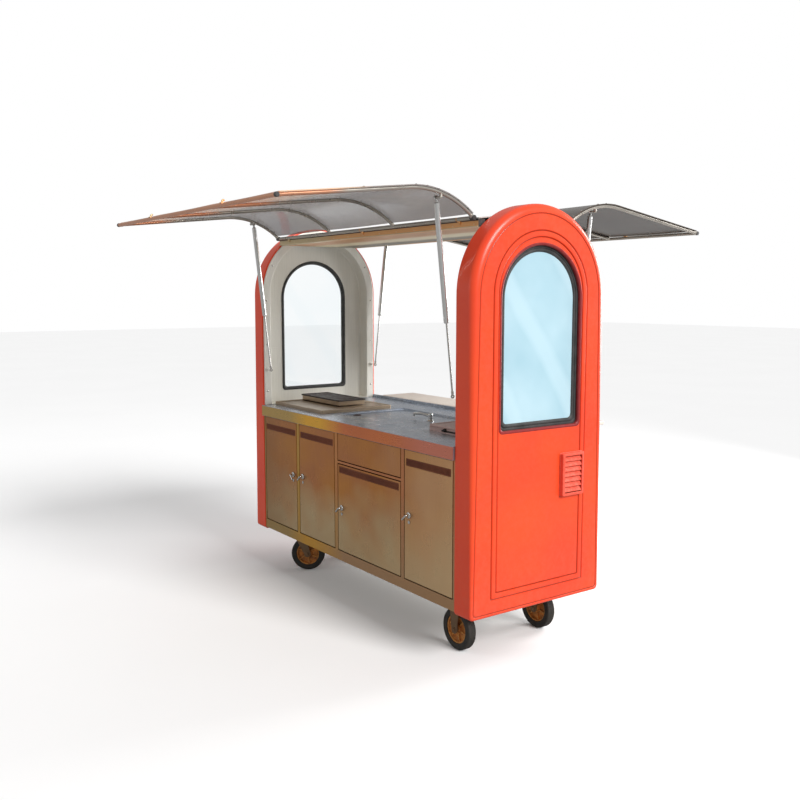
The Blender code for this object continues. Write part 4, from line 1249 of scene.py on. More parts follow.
    def vent(self) -> Thing:
        """The louvred vent with its slanting blades.

        Returns:
            The piece.
        """
        low, high = low_high(f"{self.name}_vent")
        thick = high.x - low.x
        shaper = Shaper()
        profile = ((0.0, 0.0), (-0.002, 0.001), (-0.002, 0.003), (0.0, 0.005), (0.0, thick - 0.006),
                   (0.0018, thick - 0.0018), (0.006, thick), (0.0125, thick), (0.0140, thick - 0.0012),
                   (0.0145, thick - 0.004), (0.0145, 0.004))
        loops = []
        for inset, lift in profile:
            outline = rectangle_loop((low.y + inset, low.z + inset), (high.y - inset, high.z - inset),
                                     max(0.008 - inset * 0.4, 0.002))
            loops.append(self.at(outline, -TOUCH - lift))
        shaper.skin(loops, caps=True)
        pitch = (high.z - low.z - 0.034) / self.slats
        for number in range(self.slats):
            z = low.z + 0.017 + pitch * (number + 0.5)
            blade = [(0.004, z + 0.010), (0.0065, z + 0.0112), (thick - 0.0035, z - 0.0062),
                     (thick - 0.0035, z - 0.0098), (thick - 0.0058, z - 0.0104)]
            outline = [(self.side * (HALF_LENGTH + lift), low.y + 0.013, height)
                       for lift, height in blade]
            shaper.prism(outline, (0.0, high.y - low.y - 0.026, 0.0))
        for z in (low.z + 0.0065, high.z - 0.0065):
            for y in (low.y + 0.0065, high.y - 0.0065):
                shaper.dome((self.side * (HALF_LENGTH + thick), y, z), (self.side, 0, 0), 0.0028)
        return shaper.piece(f"{self.name}_vent_louvres", "cart", Look.RED_VENT, [f"{self.name}_vent"])

    def build(self) -> list[Thing]:
        """Make the moulding, the lining, the window's edges and the vent."""
        return [self.shell(), self.pan(), self.flange_screws(), self.seal(), self.bead(), self.vent()]

    def dress(self) -> list[Thing]:
        """The glass: clear at the left end, and at the right end a pale blue copy whose colour paints a
        reflection.
        """
        look = Look.FILMED if self.side > 0 else Look.CLEAR
        return [dress_node(f"{self.name}_window_glass", look)]


# ---- cabinet
@dataclass
class Cabinet(Assembly):
    """The frame, the case, its front and the drawer.

    Attributes:
        strip: width of a cover strip on the back.
    """

    strip: float = 0.034

    def build(self) -> list[Thing]:
        """Make the cover strips and rivets on the back and the drawer's rails.

        Returns:
            The pieces.
        """
        low, high = low_high("cabinet_carcass")
        shaper = Shaper()
        for x in SEAMS:
            shaper.block((x - self.strip / 2, high.y + TOUCH, low.z + 0.01),
                         (x + self.strip / 2, high.y + 0.0018, high.z - 0.005), 0.0006)
            for number in range(8):
                z = low.z + 0.05 + number * (high.z - low.z - 0.1) / 7
                shaper.dome((x, high.y + 0.0016, z), (0, 1, 0), 0.0036)
        strips = shaper.piece("back_cover_strips", "cart", Look.CASE)
        shaper = Shaper()
        drawer = low_high("drawer")
        for x in (drawer[0].x + 0.003, drawer[1].x - 0.003):
            shaper.block((x - 0.0025, CABINET_FRONT + 0.03, drawer[0].z + 0.035),
                         (x + 0.0025, drawer[1].y - 0.02, drawer[0].z + 0.060), 0.0008)
        rails = shaper.piece("drawer_runners", "drawer", Look.CHROME)
        return [strips, rails]

    def dress(self) -> list[Thing]:
        """Finish the steel that stays as it is.

        Returns:
            The pieces.
        """
        return [dress_node("base_frame", Look.FRAME, 0.003),
                dress_node("cabinet_carcass", Look.CASE, 0.001),
                dress_node("cabinet_face_frame", Look.FASCIA, 0.0015),
                dress_node("drawer", Look.DOOR)]


@dataclass
class Door(Assembly):
    """A cabinet door: pressed leaf, vent strip, lever handle and hinge barrels.

    Attributes:
        name: the door's node and body.
        hinge_side: +1 if it hangs on its right edge, -1 on its left.
        handle_z: height of the handle.
        strip_drop: distance from the door's top to its vent strip.
        thick: thickness of the leaf.
        strip_inset: distance from the sides to the vent strip.
        strip_height: height of the vent strip.
        strip_depth: how deep the strip is pressed in.
        bar_pitch: distance between the strip's bars.
        handle_inset: distance from the free edge to the handle.
    """

    name: str
    hinge_side: int
    handle_z: float
    strip_drop: float = 0.040
    thick: float = 0.018
    strip_inset: float = 0.012
    strip_height: float = 0.035
    strip_depth: float = 0.004
    bar_pitch: float = 0.0085
    handle_inset: float = 0.038

    def leaf(self) -> Thing:
        """The leaf with the recess for its vent strip.

        Returns:
            The piece.
        """
        low, high = low_high(self.name)
        outer = ((low.x, low.z), (high.x, high.z))
        top = high.z - self.strip_drop
        inner = ((low.x + self.strip_inset, top - self.strip_height),
                 (high.x - self.strip_inset, top))
        front = CABINET_FRONT
        profile = ((outer, 0.0, self.thick, 0.001), (outer, 0.0, 0.0022, 0.001),
                   (outer, 0.0007, 0.0007, 0.001), (outer, 0.0022, 0.0, 0.001),
                   (inner, -0.0008, 0.0, 0.002), (inner, 0.0, 0.0008, 0.002),
                   (inner, 0.0, self.strip_depth, 0.002))
        loops = []
        for (start, end), inset, depth, corner in profile:
            outline = rectangle_loop((start[0] + inset, start[1] + inset),
                                     (end[0] - inset, end[1] - inset), corner)
            loops.append([(x, front + depth, z) for x, z in outline])
        shaper = Shaper()
        shaper.skin(loops, caps=True, fill=[(3, 4)])
        return shaper.piece(f"{self.name}_leaf", self.name, Look.DOOR, [self.name])

    def strip(self) -> list[Thing]:
        """The dark strip of upright bars near the top of the door.

        Returns:
            The strip's floor and its bars.
        """
        low, high = low_high(self.name)
        top = high.z - self.strip_drop - 0.001
        bottom = top - self.strip_height + 0.002
        left, right = low.x + self.strip_inset + 0.001, high.x - self.strip_inset - 0.001
        back = CABINET_FRONT + self.strip_depth
        shaper = Shaper()
        # Painted shade: the dark sheet behind the bars stands for the dim inside seen through the strip.
        shaper.block((left, back - 0.0006, bottom), (right, back - 0.0001, top), 0.0001)
        floor = shaper.piece(f"{self.name}_strip_back", self.name, Look.GRILLE_BACK)
        shaper = Shaper()
        count = int((right - left) / self.bar_pitch)
        pitch = (right - left) / count
        for number in range(count):
            x = left + pitch * (number + 0.5)
            shaper.block((x - pitch * 0.31, back - 0.0030, bottom + 0.004),
                         (x + pitch * 0.31, back - 0.0006, top - 0.004), 0.0007)
        for z in (bottom + 0.002, top - 0.002):
            shaper.block((left, back - 0.0034, z - 0.002), (right, back - 0.0006, z + 0.002), 0.0007)
        bars = shaper.piece(f"{self.name}_strip_bars", self.name, Look.GRILLE)
        return [floor, bars]

    def handle(self) -> Thing:
        """The rose, the neck and the slanting lever.

        Returns:
            The piece.
        """
        low, high = low_high(self.name)
        x = low.x + self.handle_inset if self.hinge_side > 0 else high.x - self.handle_inset
        toward = -self.hinge_side * 0.8
        place = Vector((x, CABINET_FRONT, self.handle_z))
        shaper = Shaper()
        rose = [(0.016, 0.0002), (0.016, 0.0035), (0.0148, 0.0056), (0.0125, 0.0068),
                (0.0085, 0.0076), (0.0075, 0.0092), (0.0062, 0.0105), (0.0058, 0.018)]
        shaper.turned(rose, place, (0, -1, 0), steps=36)
        turn = math.radians(35)
        reach = Vector((toward * math.cos(turn), 0.0, -math.sin(turn)))
        knee = place + Vector((0, -0.0215, 0))
        line = [place + Vector((0, -0.012, 0)), place + Vector((0, -0.018, 0))]
        line += [knee + reach * far for far in (0.002, 0.006, 0.014, 0.026, 0.036, 0.040, 0.042)]
        radii = [0.0055, 0.0056, 0.0058, 0.0058, 0.0052, 0.0048, 0.0056, 0.0050, 0.0026]
        shaper.tube(line, radii, 18)
        lock = place + Vector((0, 0, -0.034))
        shaper.turned([(0.0085, 0.0002), (0.0085, 0.002), (0.0072, 0.0032), (0.0045, 0.0034),
                       (0.004, 0.0024), (0.001, 0.0024)], lock, (0, -1, 0), steps=24)
        return shaper.piece(f"{self.name}_handle", self.name, Look.CHROME)

    def barrels(self) -> Thing:
        """Two small hinge barrels on the edge that the door turns on.

        Returns:
            The piece.
        """
        low, high = low_high(self.name)
        x = high.x if self.hinge_side > 0 else low.x
        shaper = Shaper()
        for z in (low.z + 0.07, high.z - 0.07):
            start = z - 0.022
            profile = [(0.0016, 0.0), (0.0026, 0.001), (0.0026, 0.0138), (0.0020, 0.0144),
                       (0.0020, 0.0150), (0.0026, 0.0156), (0.0026, 0.0288), (0.0020, 0.0294),
                       (0.0020, 0.0300), (0.0026, 0.0306), (0.0026, 0.043), (0.0016, 0.044)]
            shaper.turned(profile, (x, CABINET_FRONT, start), (0, 0, 1), steps=16)
        return shaper.piece(f"{self.name}_hinge_barrels", self.name, Look.DOOR)

    def build(self) -> list[Thing]:
        """Make the leaf and all that is on it."""
        return [self.leaf(), *self.strip(), self.handle(), self.barrels()]


# ---- worktop
@dataclass
class Worktop(Assembly):
    """The steel top with its tap, drain, griddle and burner box.

    Attributes:
        drain: place of the drain in the tray.
        tap: place of the tap.
        tap_reach: length of its spout.
    """

    drain: Flat = (-0.262, -0.150)
    tap: Flat = (0.172, 0.033)
    tap_reach: float = 0.150

    def band(self) -> Thing:
        """The steel band over the top's front lip, with a dark gap under it.

        Returns:
            The piece.
        """
        low = low_high("worktop")[0]
        front, top = low.y, COUNTER - TOUCH
        profile = ((front + 0.0004, low.z + 0.0008), (front - 0.0006, low.z + 0.0016),
                   (front - 0.0008, low.z + 0.003), (front - 0.0008, top - 0.0050),
                   (front - 0.0002, top - 0.0024), (front + 0.0016, top - 0.0004),
                   (front + 0.0050, top + 0.0004), (front + 0.0060, top - 0.0006),
                   (front + 0.0016, top - 0.0030))
        shaper = Shaper()
        shaper.prism([(-CASE_END, y, z) for y, z in profile], (2 * CASE_END, 0, 0))
        return shaper.piece("worktop_front_band", "cart", Look.BAND, angle=25)

    def tap_piece(self) -> Thing:
        """A low tap with a flat spout towards the left.

        Returns:
            The piece.
        """
        low, high = low_high("tap")
        foot = Vector((self.tap[0], self.tap[1], low.z + TOUCH))
        top = high.z - low.z
        shaper = Shaper()
        column = [(0.019, 0.0), (0.019, 0.003), (0.0165, 0.0055), (0.0135, 0.007), (0.0125, 0.010),
                  (0.0125, top - 0.018), (0.0138, top - 0.016), (0.0138, top - 0.008),
                  (0.0120, top - 0.004), (0.0075, top - 0.0015)]
        shaper.turned(column, foot, (0, 0, 1), steps=36)
        rise = top - 0.017
        line = [foot + Vector((-0.004, 0, rise))]
        for number in range(9):
            share = number / 8
            line.append(foot + Vector((-0.012 - (self.tap_reach - 0.03) * share, 0,
                                       rise + 0.004 * math.sin(math.pi * share))))
        for x, y in arc((-self.tap_reach + 0.014, rise - 0.010), 0.010, QUARTER, math.pi, 5):
            line.append(foot + Vector((x, 0, y)))
        line.append(line[-1] + Vector((0, 0, -0.006)))
        shaper.tube(line, [0.0085] * 4 + [0.0078] * (len(line) - 4), 18)
        return shaper.piece("tap_body", "cart", Look.CHROME, ["tap"])

    def drain_piece(self) -> Thing:
        """The round strainer in the tray.

        Returns:
            The piece.
        """
        floor = COUNTER - 0.010
        shaper = Shaper()
        shaper.turned([(0.024, 0.0002), (0.0245, 0.0012), (0.0225, 0.0020), (0.0185, 0.0016),
                       (0.0180, 0.0008), (0.002, 0.0008)], (*self.drain, floor), (0, 0, 1), steps=36)
        middle = Vector((*self.drain, floor + 0.0008))
        for ring, count in ((0.006, 6), (0.0125, 12)):
            for place in circle(middle, Vector((1, 0, 0)), Vector((0, 1, 0)), ring, count):
                shaper.dome(place, (0, 0, 1), 0.0018)
        return shaper.piece("tray_drain", "cart", Look.GRILLE_BACK)

    def griddle(self) -> list[Thing]:
        """The griddle: a pan with a raised edge, and the iron plate on its stand.

        Returns:
            The pan, the stand and the slab.
        """
        low, high = low_high("griddle_tray")
        profile = ((0.0, 0.0), (0.0, 0.017), (0.0012, 0.0192), (0.0035, 0.020), (0.0095, 0.020),
                   (0.0115, 0.0190), (0.0125, 0.0165), (0.0135, 0.0150), (0.030, 0.0145))
        shaper = Shaper()
        shaper.stepped(low, high, profile, 0.010)
        pan = shaper.piece("griddle_pan", "cart", Look.APPLIANCE, ["griddle_tray"])
        low, high = low_high("griddle_plate")
        rise = high.z - low.z
        shaper = Shaper()
        shaper.block((low.x + 0.006, low.y + 0.006, low.z),
                     (high.x - 0.006, high.y - 0.006, high.z - 0.0085), 0.002)
        stand = shaper.piece("griddle_stand", "cart", Look.APPLIANCE)
        profile = ((0.002, rise - 0.0085), (0.0, rise - 0.0075), (0.0, rise - 0.002),
                   (0.0007, rise - 0.0006), (0.002, rise), (0.007, rise), (0.009, rise - 0.002),
                   (0.013, rise - 0.003))
        shaper = Shaper()
        shaper.stepped(low, high, profile, 0.006)
        plate = shaper.piece("griddle_slab", "cart", Look.IRON, ["griddle_plate"])
        return [pan, stand, plate]

    def burner(self) -> list[Thing]:
        """The burner box: a flat lid, and a dark strip on its front that paints the shade of a hand slot.

        Returns:
            The box and its slot.
        """
        low, high = low_high("burner_box")
        rise = high.z - low.z
        profile = ((0.0, 0.0), (0.0, rise - 0.012), (0.002, rise - 0.011), (0.002, rise - 0.009),
                   (0.0, rise - 0.008), (0.0, rise - 0.003), (0.0009, rise - 0.0009), (0.003, rise),
                   (0.020, rise), (0.022, rise - 0.0015), (0.030, rise - 0.0018))
        shaper = Shaper()
        shaper.stepped(low, high, profile, 0.010)
        box = shaper.piece("burner_lid_box", "cart", Look.BURNER, ["burner_box"])
        shaper = Shaper()
        # Painted shade: a thin dark iron strip stands for the hollow of the hand slot.
        shaper.block((low.x + 0.10, low.y - 0.0004, low.z + 0.004),
                     (high.x - 0.10, low.y + 0.003, low.z + 0.014), 0.0015)
        for x in (low.x + 0.13, high.x - 0.13):
            shaper.turned([(0.010, 0.0), (0.010, 0.002), (0.0075, 0.006), (0.007, 0.010)],
                          (x, low.y - 0.001, low.z + 0.0135), (0, -1, 0), steps=20)
        slot = shaper.piece("burner_front_slot", "cart", Look.IRON)
        return [box, slot]

    def build(self) -> list[Thing]:
        """Make what stands on the top."""
        return [self.band(), self.tap_piece(), self.drain_piece(), *self.griddle(), *self.burner()]

    def dress(self) -> list[Thing]:
        """Finish the top itself."""
        return [dress_node("worktop", Look.TOP, 0.0014)]


@dataclass
class ServingShelf(Assembly):
    """The customer's shelf on the back edge, with its hinges.

    Attributes:
        hinges: places of the hinges along X.
    """

    hinges: tuple[float, ...] = (-0.66, 0.0, 0.66)

    def build(self) -> list[Thing]:
        """Make the hinge barrels and a bright front strip.

        Returns:
            The pieces.
        """
        low, high = low_high("serving_shelf")
        place = joint("serving_shelf_hinge")["pos_m"]
        shaper = Shaper()
        for x in self.hinges:
            profile = [(0.002, -0.031), (0.0036, -0.030), (0.0036, -0.0105), (0.003, -0.0098),
                       (0.003, -0.0092), (0.0036, -0.0085), (0.0036, 0.0085), (0.003, 0.0092),
                       (0.003, 0.0098), (0.0036, 0.0105), (0.0036, 0.030), (0.002, 0.031)]
            shaper.turned(profile, (x, place[1], place[2]), (1, 0, 0), steps=16)
        barrels = shaper.piece("shelf_hinge_barrels", "serving_shelf", Look.CHROME)
        shaper = Shaper()
        shaper.block((low.x + 0.004, high.y - 0.0005, low.z + 0.002),
                     (high.x - 0.004, high.y + 0.0012, high.z - 0.002), 0.0005)
        strip = shaper.piece("shelf_edge_strip", "serving_shelf", Look.TUBE)
        return [barrels, strip]

    def dress(self) -> list[Thing]:
        """Finish the shelf board."""
        return [dress_node("serving_shelf", Look.SHELF, 0.003)]


# ---- roof
@dataclass
class Roof(Assembly):
    """The two beams with their trims, the crowned skin and the ceiling.

    Attributes:
        crown: rise of the skin at the middle.
        skin: thickness of the skin.
        beam_face: distance of the beams' outer faces from the middle.
        beam_top: height of the beams' upper faces.
    """

    crown: float = 0.018
    skin: float = 0.005
    beam_face: float = 0.275
    beam_top: float = 1.982

    def cover(self) -> Thing:
        """The crowned sheet between the beams.

        Returns:
            The piece.
        """
        low, high = low_high("roof_skin")
        half = high.y
        radius = (half ** 2 + self.crown ** 2) / (2 * self.crown)
        spread = math.asin(half / radius)
        centre = (0.0, low.z + self.crown - radius)
        under = arc(centre, radius, QUARTER + spread, QUARTER - spread, 48)
        over = [(y, z + self.skin) for y, z in reversed(under)]
        shaper = Shaper()
        shaper.prism([(low.x, y, z) for y, z in under + over], (high.x - low.x, 0, 0))
        for x in SEAMS:
            ridge = [(y, z + self.skin - 0.0006) for y, z in under]
            raised = [(y, z + self.skin + 0.0022) for y, z in reversed(under)]
            shaper.prism([(x - 0.011, y, z) for y, z in ridge + raised], (0.022, 0, 0))
        return shaper.piece("roof_cover", "cart", Look.ROOF, ["roof_skin"])

    def trims(self, name: str, side: int) -> list[Thing]:
        """Gasket, lower trim, rivets and end caps of one beam.

        Args:
            name: "front" or "back".
            side: -1 for the front and +1 for the back.

        Returns:
            The pieces.
        """
        bottom = low_high(f"{name}_roof_beam")[0].z
        top = self.beam_top
        ends = FLANGE_FACE - TOUCH - 0.001
        face = side * self.beam_face
        back = face - side * 0.0005
        shaper = Shaper()
        for start, end in between_lugs(ends, 0.0065):
            shaper.block((start, back, top - 0.0085), (end, face + side * 0.0026, top - 0.0010), 0.0008)
        gasket = shaper.piece(f"{name}_beam_gasket", "cart", Look.SEAL)
        shaper = Shaper()
        shaper.block((-ends, back, bottom + 0.0004), (ends, face + side * 0.0022, bottom + 0.0045),
                     0.0008)
        for number in range(13):
            x = -ends + 0.03 + number * (2 * ends - 0.06) / 12
            shaper.dome((x, face, bottom + 0.0115), (0, side, 0), 0.0028)
        trim = shaper.piece(f"{name}_beam_trim", "cart", Look.BEAM_TRIM)
        shaper = Shaper()
        for end in (-1, 1):
            shaper.block((end * (ends + 0.0004), face + side * 0.0004, bottom - 0.0004),
                         (end * (ends + 0.0011), face - side * 0.0364, top), 0.0002)
        caps = shaper.piece(f"{name}_beam_end_caps", "cart", Look.SEAL)
        return [gasket, trim, caps]

    def build(self) -> list[Thing]:
        """Make the cover and the trims."""
        return [self.cover(), *self.trims("front", -1), *self.trims("back", 1)]

    def dress(self) -> list[Thing]:
        """Finish the beams and the ceiling."""
        return [dress_node("front_roof_beam", Look.BEAM, 0.0012),
                dress_node("back_roof_beam", Look.BEAM, 0.0012),
                dress_node("ceiling", Look.CEILING, 0.001)]


# ---- awnings
@dataclass
class Awning(Assembly):
    """A lifting awning: smoked sheet on bent ribs, hung from the roof beam.

    Attributes:
        name: "front" or "back".
        face: -1 for the front and +1 for the back.
        bend: radius of the ribs' bend.
        standoff: distance of the shut sheet's line outside the panel.
        counter_gap: gap under the shut awning's edge.
        rib: radius of a rib.
        rail: radius of the hinge rail and the outer rail.
        sheet: thickness of the sheet.
        ribs: number of ribs.
        grip: distance of the strut's grip from the crest.
        grip_drop: distance of the grip below the rib's line.
        knobs: places of the latches along X, both sides.
        opening: angle between shut and open.
        turn: angle of the bend.
        straight: length of the straight part after the bend.
        hinge: place of the hinge, as its distance from the middle and its height.
        half: half of the awning's length.
    """

    name: str
    face: int
    bend: float = 0.430
    standoff: float = 0.034
    counter_gap: float = 0.0485
    rib: float = 0.008
    rail: float = 0.009
    sheet: float = 0.004
    ribs: int = 4
    grip: float = 0.173
    grip_drop: float = 0.017
    knobs: float = 0.420
    opening: float = field(init=False)
    turn: float = field(init=False)
    straight: float = field(init=False)
    hinge: Flat = field(init=False)
    half: float = field(init=False)

    def __post_init__(self) -> None:
        """Work out the section from the hinge and the counter."""
        row = joint(f"{self.name}_awning_hinge")
        self.hinge = (abs(row["pos_m"][1]), row["pos_m"][2])
        self.opening = math.radians(row["range_deg"][1])
        inset = HALF_DEPTH - self.hinge[0]
        self.turn = math.acos((self.bend - inset - self.standoff) / self.bend)
        drop = self.bend * math.sin(self.turn)
        self.straight = self.hinge[1] - drop - COUNTER - self.counter_gap
        self.half = FLANGE_FACE - 0.008

    @property
    def body(self) -> str:
        """The body that the awning is."""
        return f"{self.name}_awning"

    def swung(self, out: float, up: float) -> Flat:
        """Turn a place given for the shut awning to the open one, as (y, z)."""
        cos, sin = math.cos(self.opening), math.sin(self.opening)
        return (self.face * (self.hinge[0] + out * cos - up * sin),
                self.hinge[1] + out * sin + up * cos)

    def line(self, offset: float, start: float = 0.0, short: float = 0.0,
             steps: int = 36) -> list[Flat]:
        """The section at a distance outside the ribs' centre line.

        Args:
            offset: the distance outside the centre line.
            start: how far past the hinge it begins.
            short: how far before the tip it ends.
            steps: parts of the bend.

        Returns:
            Points as (y, z) from the hinge to the tip.
        """
        first = self.turn - start / self.bend
        base_out = self.bend * math.cos(self.turn)
        base_up = self.bend * math.sin(self.turn)
        points = []
        for number in range(steps + 1):
            angle = first * (1 - number / steps)
            radius = self.bend + offset
            out, up = radius * math.cos(angle) - base_out, radius * math.sin(angle) - base_up
            points.append(self.swung(out, up))
        length = self.straight - short
        for number in range(1, 9):
            points.append(self.swung(out, up - length * number / 8))
        return points

    def rib_places(self) -> list[float]:
        """Where the ribs stand along X."""
        end = self.half - self.rib - 0.002
        return [-end + 2 * end * number / (self.ribs - 1) for number in range(self.ribs)]

    def grip_place(self, drop: float) -> Flat:
        """The pin of the gas strut, a drop below the end rib's line.

        Args:
            drop: distance below the line.

        Returns:
            The place as (y, z).
        """
        tilt = self.opening + self.turn - QUARTER
        lean = math.asin(math.sin(tilt) - self.grip / self.bend)
        angle = lean - self.opening + QUARTER
        radius = self.bend - drop
        return self.swung(radius * math.cos(angle) - self.bend * math.cos(self.turn),
                          radius * math.sin(angle) - self.bend * math.sin(self.turn))

    def sheet_piece(self) -> Thing:
        """The smoked sheet, which sags a little between the ribs.

        Returns:
            The piece.
        """
        inner = self.rib + TOUCH
        under = self.line(inner, 0.016, self.rail + 0.002)
        over = self.line(inner + self.sheet, 0.016, self.rail + 0.002)
        places = self.rib_places()
        span = places[1] - places[0]
        half = self.half - 0.001
        loops = []
        for number in range(49):
            x = -half + 2 * half * number / 48
            sag = 0.0016 * abs(math.sin(math.pi * (x - places[0]) / span)) if abs(x) < places[-1] else 0.0
            loops.append([(x, y, z - sag) for y, z in under + over[::-1]])
        shaper = Shaper()
        shaper.skin(loops, folded=True)
        # The back awning takes the darker copy of the sheet, as painted shade.
        look = Look.SHEET if self.face < 0 else Look.DARK_SHEET
        return shaper.piece(f"{self.name}_awning_skin", self.body, look,
                            [f"{self.name}_awning_sheet"])

    def frame_piece(self) -> Thing:
        """The welded tubes: hinge rail, ribs, outer rail and strut pins.

        Returns:
            The piece.
        """
        shaper = Shaper()
        y, z = self.face * self.hinge[0], self.hinge[1]
        shaper.tube([(-self.half + 0.002, y, z), (self.half - 0.002, y, z)], 0.004, 16)
        for start, end in between_lugs(self.half, 0.005):
            length = end - start
            profile = [(self.rail - 0.001, 0.0), (self.rail, 0.001), (self.rail, length - 0.001),
                       (self.rail - 0.001, length)]
            shaper.turned(profile, (start, y, z), (1, 0, 0), steps=24)
        centre = self.line(0.0)
        tip_y, tip_z = centre[-1]
        length = 2 * self.half
        shaper.turned([(0.0075, 0.0), (self.rail, 0.0015), (self.rail, length - 0.0015),
                       (0.0075, length)], (-self.half, tip_y, tip_z), (1, 0, 0), steps=24)
        for x in self.rib_places():
            shaper.tube([(x, py, pz) for py, pz in centre], self.rib, 16)
            for place, beyond in ((centre[0], centre[1]), (centre[-1], centre[-2])):
                ahead = (0, beyond[0] - place[0], beyond[1] - place[1])
                shaper.turned([(self.rib + 0.0002, 0.004), (self.rib + 0.0016, 0.006),
                               (self.rib + 0.0016, 0.018), (self.rib + 0.0002, 0.021)],
                              (x, *place), ahead, steps=20)
        grip = self.grip_place(self.grip_drop)
        crest = self.grip_place(0.0)
        end = self.rib_places()[-1]
        for side in (-1, 1):
            shaper.tube([(side * end, *crest), (side * end, *grip)], 0.0065, 16)
            shaper.turned([(0.0065, -0.0035), (0.0065, 0.004), (0.004, 0.0045), (0.004, 0.038),
                           (0.0062, 0.0382), (0.0062, 0.0400)], (side * end, *grip),
                          (-side, 0, 0), steps=20)
        return shaper.piece(f"{self.name}_awning_tubes", self.body, Look.TUBE,
                            [f"{self.name}_awning_frame"])

    def latches(self) -> Thing:
        """Two hooked latches on the outer rail.

        Returns:
            The piece.
        """
        tip_y, tip_z = self.line(0.0)[-1]
        shaper = Shaper()
        for side in (-1, 1):
            x = side * self.knobs
            foot = Vector((x, tip_y, tip_z))
            shaper.block(foot + Vector((-0.010, -0.0085, self.rail - 0.003)),
                         foot + Vector((0.010, 0.0085, self.rail + 0.0015)), 0.001)
            hook = ((0.0, 0.009), (0.0, 0.014), (0.001, 0.018), (0.004, 0.0205), (0.008, 0.0200),
                    (0.0105, 0.0170))
            shaper.tube([foot + Vector((0, -self.face * back, up)) for back, up in hook],
                        [0.0048, 0.0046, 0.0044, 0.0042, 0.0038, 0.0024], 14)
        return shaper.piece(f"{self.name}_awning_latches", self.body, Look.BEAM)

    def screws(self) -> Thing:
        """Screws with washers that hold the sheet to the ribs.

        Returns:
            The piece.
        """
        shaper = Shaper()
        line = self.line(self.rib + TOUCH + self.sheet, 0.016, self.rail + 0.002)
        for number in range(3, len(line) - 1, 6):
            here, after = line[number], line[number + 1]
            ahead = Vector((0, after[0] - here[0], after[1] - here[1])).normalized()
            out = Vector((0, -ahead.z, ahead.y)) if self.face > 0 else Vector((0, ahead.z, -ahead.y))
            for x in self.rib_places():
                shaper.dome(Vector((x, *here)) - out * 0.0004, out, 0.0052)
        return shaper.piece(f"{self.name}_awning_screws", self.body, Look.CHROME)

    def end_caps(self) -> Thing:
        """Black plugs on the ends of the hinge rail and the outer rail.

        Returns:
            The piece.
        """
        shaper = Shaper()
        places = ((self.face * self.hinge[0], self.hinge[1], 0.0122, 0.022),
                  (*self.line(0.0)[-1], 0.0102, 0.012))
        for y, z, radius, length in places:
            for side in (-1, 1):
                profile = [(radius - 0.002, -0.0016), (radius, -0.0002), (radius, length - 0.001),
                           (radius - 0.001, length)]
                shaper.turned(profile, (side * self.half, y, z), (-side, 0, 0), steps=24)
        return shaper.piece(f"{self.name}_awning_end_caps", self.body, Look.SEAL)

    def build(self) -> list[Thing]:
        """Make the sheet, the tubes and what is on them."""
        return [self.sheet_piece(), self.frame_piece(), self.latches(), self.screws(), self.end_caps()]


@dataclass
class GasStrut(Assembly):
    """One gas strut: the cylinder on the awning and the rod from the panel.

    Attributes:
        awning: the awning that it holds.
        name: "left" or "right".
        cylinder: radius and length of the cylinder.
        rod: radius of the rod.
    """

    awning: Awning
    name: str
    cylinder: Flat = (0.012, 0.535)
    rod: float = 0.0042

    def build(self) -> list[Thing]:
        """Make the cylinder and the rod.

        Returns:
            The cylinder and the rod.
        """
        prefix = f"{self.awning.name}_{self.name}_strut"
        grip = self.awning.grip_place(self.awning.grip_drop)
        low, high = low_high(f"{prefix}_cylinder")
        x = (low.x + high.x) / 2
        top = Vector((x, *grip))
        foot = Vector((x, self.awning.face * STUD_DEPTH, STUD_HEIGHT))
        ahead = (foot - top).normalized()
        reach = (foot - top).length
        radius, length = self.cylinder
        shaper = Shaper()
        body = [(0.0045, 0.008), (0.0062, 0.012), (0.0062, 0.018), (0.0078, 0.020), (radius, 0.024),
                (radius, length - 0.030), (radius * 0.92, length - 0.028),
                (radius * 0.92, length - 0.025), (radius, length - 0.023), (radius, length - 0.006),
                (radius * 0.86, length - 0.001), (radius * 0.6, length)]
        shaper.turned(body, top, ahead, steps=28)
        self.eye(shaper, top, 0.0105)
        cylinder = shaper.piece(f"{prefix}_barrel", f"{prefix}_cylinder", Look.STRUT,
                                [f"{prefix}_cylinder"])
        shaper = Shaper()
        start = length - 0.02
        shaper.turned([(self.rod, start), (self.rod, reach - 0.024), (0.0060, reach - 0.022),
                       (0.0060, reach - 0.012), (0.0045, reach - 0.007)], top, ahead, steps=20)
        self.eye(shaper, foot, 0.009)
        rod = shaper.piece(f"{prefix}_shaft", f"{prefix}_rod", Look.CHROME, [f"{prefix}_rod"])
        return [cylinder, rod]

    def eye(self, shaper: Shaper, place: Vector, radius: float) -> None:
        """A turned eye around a pin along X."""
        profile = [(0.0046, -0.0036), (radius - 0.001, -0.0040), (radius, -0.0030),
                   (radius, 0.0030), (radius - 0.001, 0.0040), (0.0046, 0.0036)]
        shaper.turned(profile, place, (1, 0, 0), ring=True, steps=28)


